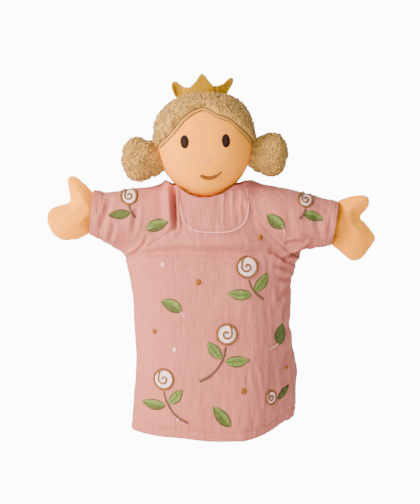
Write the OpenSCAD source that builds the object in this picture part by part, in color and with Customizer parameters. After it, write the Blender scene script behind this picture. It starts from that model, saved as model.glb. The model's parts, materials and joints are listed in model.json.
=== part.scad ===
// Princess glove puppet: a stuffed cloth head with a finger tube, and a dress that a hand fills.
// It faces -Y and stands on its hem at z = 0. "left" is the side seen on the left from the front (-X).

/* [Dress] */
// Height of the shoulder pivots above the hem
shoulder_z = 173.5; // [172:0.5:176]
// Half of the distance between the shoulder pivots
shoulder_x = 61.2; // [60:0.1:64]
// Wall of the dress cloth with its seam allowance
cloth_t = 2; // [1.5:0.1:2.5]
// How far the hem is lifted at its right side
hem_lift = 16; // [0:1:20]
// Height of the turned-up hem inside
hem_h = 7; // [5:0.5:10]
// Radius of the sleeve where it meets the shoulder
shoulder_r = 22; // [20:0.5:22]
// Radius of the sleeve at its cuff
cuff_r = 16.5; // [15:0.5:18]

/* [Arms] */
// Tilt of the left arm above level, in degrees
left_tilt = 5; // [0:1:10]
// Tilt of the right arm above level, in degrees
right_tilt = -10; // [-14:1:0]
// Shoulder pivot to cuff edge on the left
left_sleeve_l = 31; // [30:0.5:36]
// Shoulder pivot to cuff edge on the right
right_sleeve_l = 35.5; // [32:0.5:38]
// Half thickness of a mitten
mitt_r = 8; // [6.5:0.5:8.5]

/* [Head] */
// Centre of the head, across
head_x = -5; // [-6:0.5:-2]
// Radius of the stuffed head under its covers
head_r = 36; // [34:0.5:36]
// Height of the lower centre of the head form
head_low = 221.5; // [221:0.5:223]
// Height of the upper centre of the head form
head_high = 229; // [226:0.5:230]
// Lean of the head towards the left, in degrees
head_lean = 3; // [0:0.5:4]
// Turn of the face towards the right, in degrees
head_yaw = 3; // [0:0.5:5]
// Radius of the finger hole in the head
finger_r = 9; // [8:0.5:9.5]
// Radius of a hair bun
bun_r = 15.5; // [13:0.5:16]
// Height of the tallest point of the crown
crown_top = 280; // [278:0.5:284]

/* [Hidden] */

$fn = 64;
gap = 0.15;
far = 400;

dress_pink = [0.86, 0.66, 0.61];
skin_peach = [0.97, 0.76, 0.53];
hair_tan = [0.80, 0.66, 0.46];
crown_gold = [0.82, 0.66, 0.32];
thread_brown = [0.76, 0.50, 0.29];
thread_green = [0.55, 0.56, 0.32];
thread_cream = [0.94, 0.86, 0.84];
thread_dark = [0.29, 0.19, 0.17];
fibre_white = [0.96, 0.95, 0.92];

// ---------------------------------------------------------------- sheets and sweeps

// Closed solid between two surfaces. Each is a function of u (across) and v (up), both 0 to 1.
module sheet(outer, inner, nu, nv) {
    row = nu + 1;
    back = row * (nv + 1);
    grid = [for (j = [0:nv]) for (i = [0:nu]) [i / nu, j / nv]];
    points = concat([for (g = grid) outer(g[0], g[1])], [for (g = grid) inner(g[0], g[1])]);
    walls = [for (j = [0:nv - 1]) for (i = [0:nu - 1]) let (a = i + j * row, d = a + row)
        each [[a, d, d + 1], [a, d + 1, a + 1],
              [back + a, back + a + 1, back + d + 1], [back + a, back + d + 1, back + d]]];
    ends = [for (i = [0:nu - 1]) let (a = i, d = i + nv * row)
        each [[a, a + 1, back + a + 1], [a, back + a + 1, back + a],
              [d + 1, d, back + d], [d + 1, back + d, back + d + 1]]];
    sides = [for (j = [0:nv - 1]) let (a = j * row, d = a + row, b = a + nu, c = d + nu)
        each [[d, a, back + a], [d, back + a, back + d],
              [b, c, back + c], [b, back + c, back + b]]];
    polyhedron(points = points, faces = concat(walls, ends, sides), convexity = 6);
}

function unit(v) = v / norm(v);

// Tube of radius r along a list of points, with flat ends.
module tube_along(path, r, sides = 8) {
    n = len(path);
    ring = [for (i = [0:n - 1]) let (
            t = unit(path[min(i + 1, n - 1)] - path[max(i - 1, 0)]),
            a = unit(cross(t, [0, 1, 0])),
            b = cross(t, a))
        each [for (k = [0:sides - 1]) path[i] + r * (cos(360 * k / sides) * a + sin(360 * k / sides) * b)]];
    walls = [for (i = [0:n - 2]) for (k = [0:sides - 1]) let (
            a = i * sides + k,
            b = i * sides + (k + 1) % sides)
        each [[a, b, b + sides], [a, b + sides, a + sides]]];
    first = [for (k = [0:sides - 1]) sides - 1 - k];
    last = [for (k = [0:sides - 1]) (n - 1) * sides + k];
    polyhedron(points = ring, faces = concat([first], walls, [last]), convexity = 6);
}

// ---------------------------------------------------------------- dress

// Rings of the dress from hem to neckline:
// height, half width, half depth, centre across, open angle at each side, scoop at front and back.
dress_rings = [
    [0, 60, 45, 1, 0.2, 0],
    [15, 62, 44.5, 2.5, 0.2, 0],
    [30, 62.5, 43, 3, 0.2, 0],
    [60, 61, 40, 2.5, 0.2, 0],
    [90, 60, 36, 2, 0.2, 0],
    [120, 61, 32, 1, 0.2, 0],
    [136, 64.5, 29, 0, 0.2, 0],
    [144, 63.5, 28, 0, 0.2, 0],
    [148, 58, 27.5, 0.5, 8, 0],
    [150, shoulder_x - shoulder_r - 0.6, 27, 0, 28, 0],
    [165, shoulder_x - shoulder_r - 0.8, 27, 0, 28, 0],
    [180, shoulder_x - shoulder_r - 0.8, 26.5, 0, 28, 1],
    [187, 35, 26, -1, 28, 4],
    [191.5, 28, 25.5, -3.5, 28, 7.5]
];
dress_power = 2.5;
last_ring = len(dress_rings) - 1;

function power(value, exponent) = sign(value) * pow(abs(value), exponent);

// Point of the dress on ring k at an angle, moved in by t square to the wall.
function ring_point(k, angle, t) = let (
    ring = dress_rings[k],
    below = dress_rings[max(k - 1, 0)],
    above = dress_rings[min(k + 1, last_ring)],
    run = k == 0 ? [0, 1] : unit([above[1] - below[1], above[0] - below[0]]),
    half_w = ring[1] - t * run[1],
    x = ring[3] + half_w * power(cos(angle), 2 / dress_power),
    y = (ring[2] - t) * power(sin(angle), 2 / dress_power),
    lift = hem_lift * pow(max(0, min(1, (x - 12) / 50)), 1.5) * max(0, 1 - ring[0] / 60),
    z = ring[0] + t * run[0] + lift - ring[5] * pow(sin(angle), 2)
) [x, y, z];

// Half of the dress: start is the angle at its left edge, 180 for the front and 0 for the back.
module dress_half(start) {
    wall = function (u, v, t) let (
        k = round(v * last_ring),
        open = dress_rings[k][4]
    ) ring_point(k, start + open + u * (180 - 2 * open), t);
    sheet(function (u, v) wall(u, v, 0), function (u, v) wall(u, v, cloth_t), 30, last_ring);
}

module dress_front() {
    color(dress_pink) dress_half(180);
}

module dress_back() {
    color(dress_pink) dress_half(0);
}

// Turned-up hem, one closed ring just inside both dress halves.
module hem_band() {
    hem_t = 1;
    top = hem_h;
    foot = 0.6;
    hem_gap = 0.5;
    wall = function (angle, t, h) let (p = ring_point(0, angle, cloth_t + hem_gap + t)) p + [0, 0, h];
    sides = 72;
    corner = [[0, foot], [0, top], [hem_t, top], [hem_t, foot]];
    points = [for (i = [0:sides - 1]) for (c = corner) wall(360 * i / sides, c[0], c[1])];
    faces = [for (i = [0:sides - 1]) for (k = [0:3]) let (
            a = 4 * i + k,
            b = 4 * i + (k + 1) % 4,
            c = 4 * ((i + 1) % sides) + (k + 1) % 4,
            d = 4 * ((i + 1) % sides) + k)
        each [[a, b, c], [a, c, d]]];
    color(dress_pink) polyhedron(points = points, faces = faces, convexity = 10);
}

// Outside of the dress front at a place across and up, pushed out by lift.
function ring_value(z, column) = lookup(z, [for (r = dress_rings) [r[0], r[column]]]);
function front_y(x, z) = -ring_value(z, 2)
    * pow(1 - pow(min(0.999, abs(x - ring_value(z, 3)) / ring_value(z, 1)), dress_power), 1 / dress_power);
function front_point(x, z, lift = 0) = [x, front_y(x, z) - lift, z];

// Yoke under the chin, round below and as wide as the neckline above.
bib_low = 161;
bib_high = 181;
bib_half = 24;
bib_mid = 3;
function bib_half_at(v) = bib_half * pow(sin(90 * (0.12 + 0.88 * v)), 0.55);

module bib() {
    patch = function (u, v, lift)
        front_point(bib_mid + (2 * u - 1) * bib_half_at(v), bib_low + v * (bib_high - bib_low), lift);
    color(dress_pink)
        sheet(function (u, v) patch(u, v, 1.4), function (u, v) patch(u, v, 0.4), 16, 10);
}

module bib_piping() {
    cord_r = 0.6;
    out = 0.9;
    half = concat(
        [for (v = [1:-0.1:0]) [-1, v]],
        [for (v = [0:0.1:1]) [1, v]]);
    path = [for (h = half) front_point(
        bib_mid + h[0] * (bib_half_at(h[1]) + out),
        bib_low - 0.9 + h[1] * (bib_high - bib_low),
        1.1)];
    color(thread_cream) tube_along(path, cord_r);
}

// Cloth tube between the dress and the head, with a flange that lies under the neckline.
neck_top = 180.5;
neck_r = 12;
module neck_collar() {
    flange_r = 22.5;
    wall = 1.2;
    depth = 16;
    color(dress_pink) translate([head_x, 0, neck_top - depth]) difference() {
        union() {
            cylinder(r = neck_r + wall, h = depth);
            translate([0, 0, depth - wall]) cylinder(r = flange_r, h = wall);
        }
        translate([0, 0, -1]) cylinder(r = neck_r, h = depth + 2);
    }
}

// ---------------------------------------------------------------- embroidery

// Rose of a given radius about the origin, facing -Y: a filled disc with raised rings.
module rose(r) {
    thread = 0.6;
    fill = 0.5;
    rotate([90, 0, 0]) {
        color(thread_cream) cylinder(r = r - thread, h = fill);
        color(thread_brown) for (share = [1, 0.62, 0.28])
            rotate_extrude() translate([(r - thread) * share, fill]) circle(thread, $fn = 16);
    }
}

// Leaf of a given length about the origin, facing -Y, its tip towards +X turned by angle.
module leaf(length, angle) {
    fat = length * 0.3;
    bow = (length * length / 4 + fat * fat) / (2 * fat);
    rotate([90, 0, 0]) rotate([0, 0, angle]) color(thread_green) linear_extrude(0.6) intersection() {
        translate([0, fat - bow]) circle(bow, $fn = 48);
        translate([0, bow - fat]) circle(bow, $fn = 48);
    }
}

module on_dress(x, z) {
    lift = 0.6;
    step = 0.5;
    slope_x = (front_y(x + step, z) - front_y(x - step, z)) / (2 * step);
    slope_z = (front_y(x, z + step) - front_y(x, z - step)) / (2 * step);
    turn = atan(slope_x);
    translate(front_point(x, z)) rotate([-atan(slope_z * cos(turn)), 0, turn]) translate([0, -lift, 0])
        children();
}

// Places on the dress, across and up, and sizes.
chest_rose = [27, 133.5, 8];
waist_rose = [12, 82, 8];
lower_rose = [-36, 48, 7.5];
side_rose = [47, 33.5, 6];
leaf_spots = [
    [20.5, 113, 18, 170], [40, 123, 15, 62], [0.5, 73.5, 15, 125], [21, 62, 18, 8],
    [-45, 30, 17, 165], [-25, 36.5, 13, 52], [-30, 106, 16, 25], [53, 82, 16, -75],
    [55.5, 45, 12, 60], [7, 21, 17, 47]
];
knot_spots = [[37.5, 156], [-9.6, 122], [-43, 84.5], [25, 39]];
bead_spots = [[-36.5, 135.5], [-27.8, 70.5], [56, 56]];

module rose_chest() {
    on_dress(chest_rose[0], chest_rose[1]) rose(chest_rose[2]);
}

module rose_waist() {
    on_dress(waist_rose[0], waist_rose[1]) rose(waist_rose[2]);
}

module rose_lower() {
    on_dress(lower_rose[0], lower_rose[1]) rose(lower_rose[2]);
}

module rose_side() {
    on_dress(side_rose[0], side_rose[1]) rose(side_rose[2]);
}

module dress_leaves() {
    for (s = leaf_spots) on_dress(s[0], s[1]) leaf(s[2], s[3]);
}

// Stem from under a rose: a bent line of thread that hangs and then sweeps to one side.
module stem(rose_spot, sweep, drop) {
    steps = 10;
    start = rose_spot[1] - rose_spot[2] - 1.2;
    path = [for (i = [0:steps]) let (s = i / steps)
        front_point(rose_spot[0] + sweep * s * s, start - drop * s, 1.1)];
    color(thread_brown) tube_along(path, 0.6, 8);
}

module dress_stems() {
    stem(chest_rose, 12, 15);
    stem(waist_rose, -20, 24);
    stem(lower_rose, 18, 21);
}

module dress_knots() {
    knot_r = 2;
    color(crown_gold) for (s = knot_spots)
        on_dress(s[0], s[1]) translate([0, -knot_r, 0]) sphere(knot_r, $fn = 24);
}

module dress_beads() {
    bead_r = 1.4;
    color(thread_cream) for (s = bead_spots)
        on_dress(s[0], s[1]) translate([0, -bead_r, 0]) sphere(bead_r, $fn = 24);
}

// ---------------------------------------------------------------- arms

// Moves children from an arm's own frame, +X along the arm from the shoulder, to its place.
module arm(side) {
    tilt = tilt_of(side);
    translate([side * shoulder_x, 0, shoulder_z]) mirror([side < 0 ? 1 : 0, 0, 0])
        rotate([0, -tilt, 0]) children();
}

function sleeve_length(side) = side < 0 ? left_sleeve_l : right_sleeve_l;

// Sleeve outside in the arm's frame, moved in by t: a ball at the shoulder that runs into a cone.
module sleeve_form(length, t) {
    sphere(shoulder_r - t);
    rotate([0, 90, 0]) cylinder(r1 = shoulder_r - t, r2 = cuff_r - t, h = length);
}

module sleeve(side) {
    length = sleeve_length(side);
    root = 15;
    wall = 1.4;
    color(dress_pink) arm(side) difference() {
        sleeve_form(length, 0);
        sleeve_form(length + 0.01, wall);
        translate([-root - far, -far / 2, -far / 2]) cube(far);
        translate([length - 1, 0, 0]) rotate([0, 90, 0]) cylinder(r = cuff_r - wall, h = 10);
    }
}

// Band round the end of the sleeve.
module cuff(side) {
    band = 6;
    wall = 0.9;
    length = sleeve_length(side);
    slope = (shoulder_r - cuff_r) / length;
    inside = cuff_r + gap;
    color(dress_pink) arm(side) translate([length - band, 0, 0]) rotate([0, 90, 0]) difference() {
        cylinder(r1 = inside + band * slope + wall, r2 = inside + wall, h = band);
        translate([0, 0, -0.01]) cylinder(r1 = inside + band * slope, r2 = inside, h = band + 0.02);
    }
}

// Puts children on the front of the sleeve, s along the arm and t up from its middle.
module on_sleeve(side, s, t) {
    length = sleeve_length(side);
    lift = 0.35;
    r = s < 0 ? sqrt(shoulder_r * shoulder_r - s * s) : shoulder_r - (shoulder_r - cuff_r) * s / length;
    turn = asin(t / r);
    arm(side) rotate([-turn, 0, 0]) translate([s, -r - lift - 0.8, 0]) children();
}

module sleeve_rose(side) {
    on_sleeve(side, 6, 11) rose(6.3);
}

module sleeve_leaves(side) {
    on_sleeve(side, 20, 1) leaf(15, -20);
    on_sleeve(side, -5, -9) leaf(15, -30);
}

cover_t = 1;
hand_tip = 125;
thumb_r = 5.2;
function wrist_s(side) = sleeve_length(side) + 1;
function tilt_of(side) = side < 0 ? left_tilt : right_tilt;

// Length of a mitten that brings its finger end to hand_tip, with its tilt counted in.
function mitt_reach(side) = (hand_tip - shoulder_x - mitt_r - 4.5 * sin(tilt_of(side))) / cos(tilt_of(side))
    - wrist_s(side);

function arc(centre, r, from, to, steps) =
    [for (i = [0:steps]) let (a = from + (to - from) * i / steps) centre + r * [cos(a), sin(a)]];
function heading(a, b) = atan2(b[1] - a[1], b[0] - a[0]);

// Outline of a mitten in the arm's frame about the wrist: fingers out and a little down, thumb up.
// reach is how far the finger end's centre lies from the wrist.
function mitt_outline(reach) = let (
    cuff_top = [0, 4.5],
    cuff_low = [0, -4.5],
    palm = [0.6 * reach, -13],
    low_tip = [0.95 * reach, -11],
    tip = [reach, -4.5],
    thumb_tip = [0.65 * reach, 20],
    thumb_turn = heading([0.35 * reach, 6], thumb_tip),
    top_turn = heading(tip, cuff_top) - 90
) concat(
    arc(tip, mitt_r, heading(low_tip, tip) - 90, top_turn, 7),
    [[0.64 * reach, 7.4]],
    arc(thumb_tip, thumb_r, thumb_turn - 90, thumb_turn + 90, 10),
    [[0.21 * reach, 11.2]],
    arc(cuff_top, mitt_r, top_turn + 8, 180, 6),
    arc(cuff_low, mitt_r, 180, 270 + heading(cuff_low, palm), 6),
    arc(palm, mitt_r, 272 + heading(cuff_low, palm), 270 + heading(palm, low_tip), 4),
    arc(low_tip, mitt_r, 272 + heading(palm, low_tip), 268 + heading(low_tip, tip), 5)
);

// Outline with each corner moved in by t along the middle of its two edges' normals.
function inset_outline(points, t) = let (n = len(points)) [for (i = [0:n - 1]) let (
    before = unit(points[i] - points[(i + n - 1) % n]),
    after = unit(points[(i + 1) % n] - points[i]),
    along = unit(before + after)
) points[i] + t * [-along[1], along[0]]];

// Rings of one domed face over an outline, from its middle out to its rim at y = rim.
dome_rings = 6;
function dome(outline, middle, rim, depth, face) = [for (j = [0:dome_rings]) let (
    s = j / dome_rings,
    swell = sqrt(max(0, 1 - pow(s, 2.2)))
) each [for (p = outline) let (q = middle + max(s, 0.04) * (p - middle))
    [q[0], face * (rim + (depth - rim) * swell), q[1]]]];

// Closed solid between two stacks of rings that end in the same number of points.
module between(first, second, n) {
    start = len(first);
    stack = function (base, flip) [for (j = [0:dome_rings - 1]) for (i = [0:n - 1]) let (
            a = base + j * n + i,
            b = base + j * n + (i + 1) % n)
        each flip ? [[a, b, b + n], [a, b + n, a + n]] : [[a, b + n, b], [a, a + n, b + n]]];
    rim_1 = dome_rings * n;
    rim_2 = start + rim_1;
    rims = [for (i = [0:n - 1]) let (k = (i + 1) % n)
        each [[rim_1 + i, rim_1 + k, rim_2 + k], [rim_1 + i, rim_2 + k, rim_2 + i]]];
    caps = [[for (i = [0:n - 1]) n - 1 - i], [for (i = [0:n - 1]) start + i]];
    walls = concat(stack(0, true), stack(start, false));
    polyhedron(points = concat(first, second), faces = concat(caps, walls, rims), convexity = 6);
}

// Middle that every part of a mitten's outline can be seen from.
function mitt_middle(reach) = [0.19 * reach, -3];

module wrist(side) {
    arm(side) translate([wrist_s(side), 0, 0]) children();
}

// Half of a mitten's cover: face is -1 for the front half and 1 for the back half.
module hand_cover(side, face) {
    reach = mitt_reach(side);
    outline = mitt_outline(reach);
    middle = mitt_middle(reach);
    outer = dome(outline, middle, gap / 2, mitt_r, face);
    inner = dome(inset_outline(outline, cover_t), middle, gap / 2, mitt_r - cover_t, face);
    color(skin_peach) wrist(side) {
        if (face < 0) between(outer, inner, len(outline));
        if (face > 0) between(inner, outer, len(outline));
    }
}

module hand_stuffing(side) {
    reach = mitt_reach(side);
    inset = cover_t + gap;
    outline = inset_outline(mitt_outline(reach), inset);
    middle = mitt_middle(reach);
    front = dome(outline, middle, gap, mitt_r - inset, -1);
    back = dome(outline, middle, gap, mitt_r - inset, 1);
    color(fibre_white) wrist(side) between(front, back, len(outline));
}

// ---------------------------------------------------------------- head

// Moves children from the head's own frame, about its middle, to their place.
module head_place() {
    middle = (head_low + head_high) / 2;
    translate([head_x, 0, middle]) rotate([0, -head_lean, head_yaw]) children();
}

half_rise = (head_high - head_low) / 2;

// Head form of radius r in the head's frame: two balls one above the other with a cylinder between.
module head_form(r) rotate([0, 0, 90]) {
    translate([0, 0, -half_rise]) sphere(r);
    translate([0, 0, half_rise]) sphere(r);
    translate([0, 0, -half_rise]) cylinder(r = r, h = 2 * half_rise);
}

function head_y(x, z, r) = let (dz = max(0, abs(z) - half_rise)) -sqrt(r * r - x * x - dz * dz);

tube_low = 188;
tube_l = 44;
tube_t = 1.3;

module finger_tube() {
    color([0.75, 0.68, 0.58]) translate([head_x, 0, tube_low]) difference() {
        cylinder(r = finger_r + tube_t, h = tube_l);
        translate([0, 0, -1]) cylinder(r = finger_r, h = tube_l + 2);
    }
}

module head_stuffing() {
    mouth_z = tube_low - 20;
    color(fibre_white) difference() {
        head_place() head_form(head_r);
        translate([head_x, 0, mouth_z])
            cylinder(r = finger_r + tube_t + gap, h = tube_low + tube_l + gap - mouth_z);
    }
}

// Face outline seen from the front: a pointed arch over the forehead, open below.
// Each side of the arch is an arc of one radius from the side of the head to the peak.
arch_peak = 30;
arch_side = 3;
arch_half = 40;
arch_r = 55;
arch_chord = [arch_half, arch_side - arch_peak];
arch_sag = sqrt(arch_r * arch_r - pow(norm(arch_chord) / 2, 2)) / norm(arch_chord);
arch_centre = [arch_half, arch_peak + arch_side] / 2 + arch_sag * [arch_chord[1], -arch_chord[0]];
module face_arch(inset) {
    intersection() {
        translate(arch_centre) circle(arch_r - inset);
        translate([-arch_centre[0], arch_centre[1]]) circle(arch_r - inset);
        translate([-far / 2, arch_side]) square(far);
    }
    translate([inset - arch_half, -far]) square([2 * (arch_half - inset), far + arch_side + 0.01]);
}

module face_prism(inset) {
    rotate([90, 0, 0]) translate([0, 0, inset]) linear_extrude(far) face_arch(inset);
}

neck_hole_r = 14;
module neck_hole() {
    translate([head_x, 0, tube_low - 40]) cylinder(r = neck_hole_r, h = 40 + 4);
}

module face_cover() {
    color(skin_peach) difference() {
        head_place() intersection() {
            difference() {
                head_form(head_r + 1.1);
                head_form(head_r + 0.1);
            }
            face_prism(0.3);
        }
        neck_hole();
    }
}

module hair_cap() {
    color(hair_tan) difference() {
        head_place() difference() {
            head_form(head_r + hair_t);
            head_form(head_r + 0.1);
            face_prism(0);
        }
        neck_hole();
    }
}

// Narrow band along the hairline, lying on the face beside the edge of the hair.
module hairline_binding() {
    band_r = 0.9;
    beside = 1.6;
    steps = 14;
    reach = arch_r - beside;
    top = acos(-arch_centre[0] / reach);
    low = acos((head_r - 1.5 - arch_centre[0]) / reach);
    right = [for (i = [0:steps]) let (a = top + (low - top) * i / steps)
        arch_centre + reach * [cos(a), sin(a)]];
    left = [for (i = [steps:-1:1]) [-right[i][0], right[i][1]]];
    path = [for (p = concat(left, right)) [p[0], head_y(p[0], p[1], head_r + 2.2), p[1]]];
    color(hair_tan) head_place() tube_along(path, band_r);
}

hair_t = 2.4;
bun_out = 46.5;
bun_forward = -6;
bun_down = 9.5;

// Ball of a bun in the head's frame, kept clear of the hair cap.
module bun_place(side) {
    head_place() difference() {
        translate([side * bun_out, bun_forward, -bun_down]) rotate([0, 0, side < 0 ? 0 : 180]) children();
        translate([0, 0, -far / 2]) cylinder(r = head_r + hair_t + gap, h = far);
    }
}

module bun_cover(side) {
    wall = 1.4;
    color(hair_tan) bun_place(side) difference() {
        sphere(bun_r);
        sphere(bun_r - wall);
    }
}

module bun_stuffing(side) {
    color(fibre_white) bun_place(side) sphere(bun_r - 1.4 - gap);
}

// Felt crown: a curved strip that stands on the hair, with three points that flare outwards.
module crown() {
    felt = 2.2;
    half_turn = 88;
    base_r = 15;
    back = 6;
    flare = 6;
    valley = 4.5;
    points = 3;
    hair_z = function (x, y) half_rise + sqrt(pow(head_r + hair_t + 0.3, 2) - x * x - y * y);
    height = crown_top - (head_low + head_high) / 2 - hair_z(0, back - base_r);
    strip = function (u, v, out) let (
        a = 270 + half_turn * (2 * u - 1),
        peak = pow(abs(sin(180 * points * u)), 0.7),
        h = (valley + (height - valley) * peak) * v,
        r = base_r + out + flare * pow(h / height, 1.5))
        [r * cos(a), r * sin(a) + back, hair_z(base_r * cos(a), base_r * sin(a) + back) + h];
    color(crown_gold) head_place()
        sheet(function (u, v) strip(u, v, felt), function (u, v) strip(u, v, 0), 48, 6);
}

// Puts children on the face in the head's frame, facing out.
module on_face(x, z) {
    lift = 1.3;
    r = head_r + lift;
    y = head_y(x, z, r);
    dz = sign(z) * max(0, abs(z) - half_rise);
    head_place() translate([x, y, z]) rotate([atan2(dz, -y) * -1, 0, atan2(x, -y)]) children();
}

module eye(side) {
    color(thread_dark) on_face(side * 15.7, 6.5) rotate([90, 0, 0]) linear_extrude(0.7) union() {
        translate([0, -1.6]) circle(3);
        translate([0, 1.6]) circle(3);
        translate([-3, -1.6]) square([6, 3.2]);
    }
}

module nose() {
    color([0.93, 0.70, 0.56]) on_face(1.5, -7.5) rotate([90, 0, 0]) linear_extrude(0.6) union() {
        translate([-2, 0]) circle(1.5);
        translate([2, 0]) circle(1.5);
        translate([-2, -1.5]) square([4, 3]);
    }
}

// Smile: an arc of thread across the lower face.
module mouth() {
    steps = 12;
    half = 8.3;
    dip = 4;
    path = [for (i = [0:steps]) let (s = 2 * i / steps - 1, x = 2.5 + half * s, z = -17.5 - dip * (1 - s * s))
        [x, head_y(x, z, head_r + 2.1), z]];
    color(thread_brown) head_place() tube_along(path, 0.8);
}

// ---------------------------------------------------------------- parts

dress_front();
dress_back();
hem_band();
bib();
bib_piping();
neck_collar();
rose_chest();
rose_waist();
rose_lower();
rose_side();
dress_leaves();
dress_stems();
dress_knots();
dress_beads();
sleeve(-1);  // left_sleeve
cuff(-1);  // left_cuff
sleeve_rose(-1);  // left_sleeve_rose
sleeve_leaves(-1);  // left_sleeve_leaves
sleeve(1);  // right_sleeve
cuff(1);  // right_cuff
sleeve_rose(1);  // right_sleeve_rose
sleeve_leaves(1);  // right_sleeve_leaves
hand_cover(-1, -1);  // left_hand_front
hand_cover(-1, 1);  // left_hand_back
hand_stuffing(-1);  // left_hand_stuffing
hand_cover(1, -1);  // right_hand_front
hand_cover(1, 1);  // right_hand_back
hand_stuffing(1);  // right_hand_stuffing
head_stuffing();
finger_tube();
face_cover();
hair_cap();
hairline_binding();
bun_cover(-1);  // left_bun_cover
bun_stuffing(-1);  // left_bun_stuffing
bun_cover(1);  // right_bun_cover
bun_stuffing(1);  // right_bun_stuffing
crown();
eye(-1);  // left_eye
eye(1);  // right_eye
nose();
mouth();
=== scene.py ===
import json
import math

import bmesh
import bpy
import numpy as np
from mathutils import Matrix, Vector
from mathutils.bvhtree import BVHTree


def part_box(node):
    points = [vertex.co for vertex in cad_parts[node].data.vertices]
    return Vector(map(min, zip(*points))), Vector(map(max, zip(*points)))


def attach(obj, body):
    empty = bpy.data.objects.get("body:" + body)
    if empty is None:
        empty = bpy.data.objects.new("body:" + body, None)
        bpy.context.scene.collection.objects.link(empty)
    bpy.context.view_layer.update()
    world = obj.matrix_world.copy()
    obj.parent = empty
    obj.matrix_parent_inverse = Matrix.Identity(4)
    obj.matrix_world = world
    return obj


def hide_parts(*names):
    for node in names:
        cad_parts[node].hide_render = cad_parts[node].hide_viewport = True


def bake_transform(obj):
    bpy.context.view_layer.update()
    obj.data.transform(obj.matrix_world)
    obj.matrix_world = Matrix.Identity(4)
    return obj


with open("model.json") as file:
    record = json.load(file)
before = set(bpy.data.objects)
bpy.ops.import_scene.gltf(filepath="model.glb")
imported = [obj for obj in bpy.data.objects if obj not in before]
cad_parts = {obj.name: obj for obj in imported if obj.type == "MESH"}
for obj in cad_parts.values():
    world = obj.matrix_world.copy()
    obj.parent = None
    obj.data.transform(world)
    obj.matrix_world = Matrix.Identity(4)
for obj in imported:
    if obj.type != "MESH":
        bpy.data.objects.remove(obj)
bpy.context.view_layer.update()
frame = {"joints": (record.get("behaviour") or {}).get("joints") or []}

MM = 0.001
JOINTS = {j["name"]: j for j in frame["joints"]}
SIDE_NAME = {-1: "left", 1: "right"}


def place(name):
    """A joint's place in millimetres."""
    return np.array(JOINTS[name]["pos_m"]) / MM


def box_mm(node):
    low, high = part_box(node)
    return np.array(low) / MM, np.array(high) / MM


SHOULDER = {-1: place("left_arm_raise"), 1: place("right_arm_raise")}
WRIST = {-1: place("left_hand_fold"), 1: place("right_hand_fold")}
ARM_DIR = {s: (WRIST[s] - SHOULDER[s]) / np.linalg.norm(WRIST[s] - SHOULDER[s]) for s in (-1, 1)}
ARM_UP = {s: np.array([-s * ARM_DIR[s][2], 0, abs(ARM_DIR[s][0])]) for s in (-1, 1)}
ARM_REACH = {s: np.linalg.norm(WRIST[s] - SHOULDER[s]) for s in (-1, 1)}

# ------------------------------------------------------------------ numbers


def smooth(low, high, value):
    t = np.clip((value - low) / (high - low), 0, 1)
    return t * t * (3 - 2 * t)


def bell(value, centre, width):
    return np.exp(-((value - centre) / width) ** 2)


def profile(at, places, values, spread=5.0):
    """Values read off a row of places, with the corners rounded off over spread."""
    offsets = np.linspace(-spread, spread, 7)
    return sum(np.interp(at + o, places, values) for o in offsets) / len(offsets)


def circle(count):
    """Angles evenly round a circle."""
    return np.linspace(0, 2 * math.pi, count, endpoint=False)


def steps_along(line):
    """How far along a line each of its points is."""
    return np.r_[0, np.cumsum(np.linalg.norm(np.diff(line, axis=0), axis=1))]


def grid_of(down, across):
    return np.meshgrid(down, across, indexing="ij")


def oval(x, z, half, tall, share, angle):
    """Flat places in an oval, share of the way out from its middle at each angle."""
    across, up = share * np.cos(angle), share * np.sin(angle)
    return np.stack([x + half * across.ravel(), z + tall * up.ravel()], axis=1)


def unit(vectors):
    return vectors / np.maximum(np.linalg.norm(vectors, axis=-1), 1e-9)[..., None]


def lattice(cells, seed):
    """One repeatable number from -1 to 1 for each whole-number cell."""
    c = cells.astype(np.int64)
    h = c[..., 0] * 374761393 + c[..., 1] * 668265263 + c[..., 2] * 1442695041 + seed * 974634777
    h = ((h & 0xFFFFFFFF) ^ ((h & 0xFFFFFFFF) >> 13)) * 1274126177
    h = (h & 0xFFFFFFFF) ^ ((h & 0xFFFFFFFF) >> 16)
    return (h & 0xFFFF) / 32767.5 - 1


def noise(points, scale, seed):
    """Smooth noise from -1 to 1; scale is the size of a cell, one number or three."""
    p = points / np.asarray(scale, float)
    base = np.floor(p)
    f = p - base
    f = f * f * (3 - 2 * f)
    total = np.zeros(len(points))
    for corner in np.ndindex(2, 2, 2):
        weight = np.ones(len(points))
        for axis in range(3):
            weight = weight * (f[:, axis] if corner[axis] else 1 - f[:, axis])
        total += weight * lattice(base + corner, seed)
    return total


# ------------------------------------------------------------------ meshes


def make_object(name, points_mm, faces):
    mesh = bpy.data.meshes.new(name)
    mesh.from_pydata((np.asarray(points_mm) * MM).tolist(), [], [tuple(f) for f in faces])
    mesh.validate()
    obj = bpy.data.objects.new(name, mesh)
    bpy.context.scene.collection.objects.link(obj)
    face_out(obj)
    return obj


def face_out(obj):
    bm = bmesh.new()
    bm.from_mesh(obj.data)
    bmesh.ops.recalc_face_normals(bm, faces=bm.faces)
    bm.to_mesh(obj.data)
    bm.free()
    obj.data.polygons.foreach_set("use_smooth", [True] * len(obj.data.polygons))
    obj.data.update()


def points_of(obj):
    co = np.empty(len(obj.data.vertices) * 3)
    obj.data.vertices.foreach_get("co", co)
    return co.reshape(-1, 3) / MM


def set_points(obj, points_mm):
    obj.data.vertices.foreach_set("co", (points_mm * MM).ravel())
    obj.data.update()


def normals_of(obj):
    n = np.empty(len(obj.data.vertices) * 3)
    obj.data.vertices.foreach_get("normal", n)
    return n.reshape(-1, 3)


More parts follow.
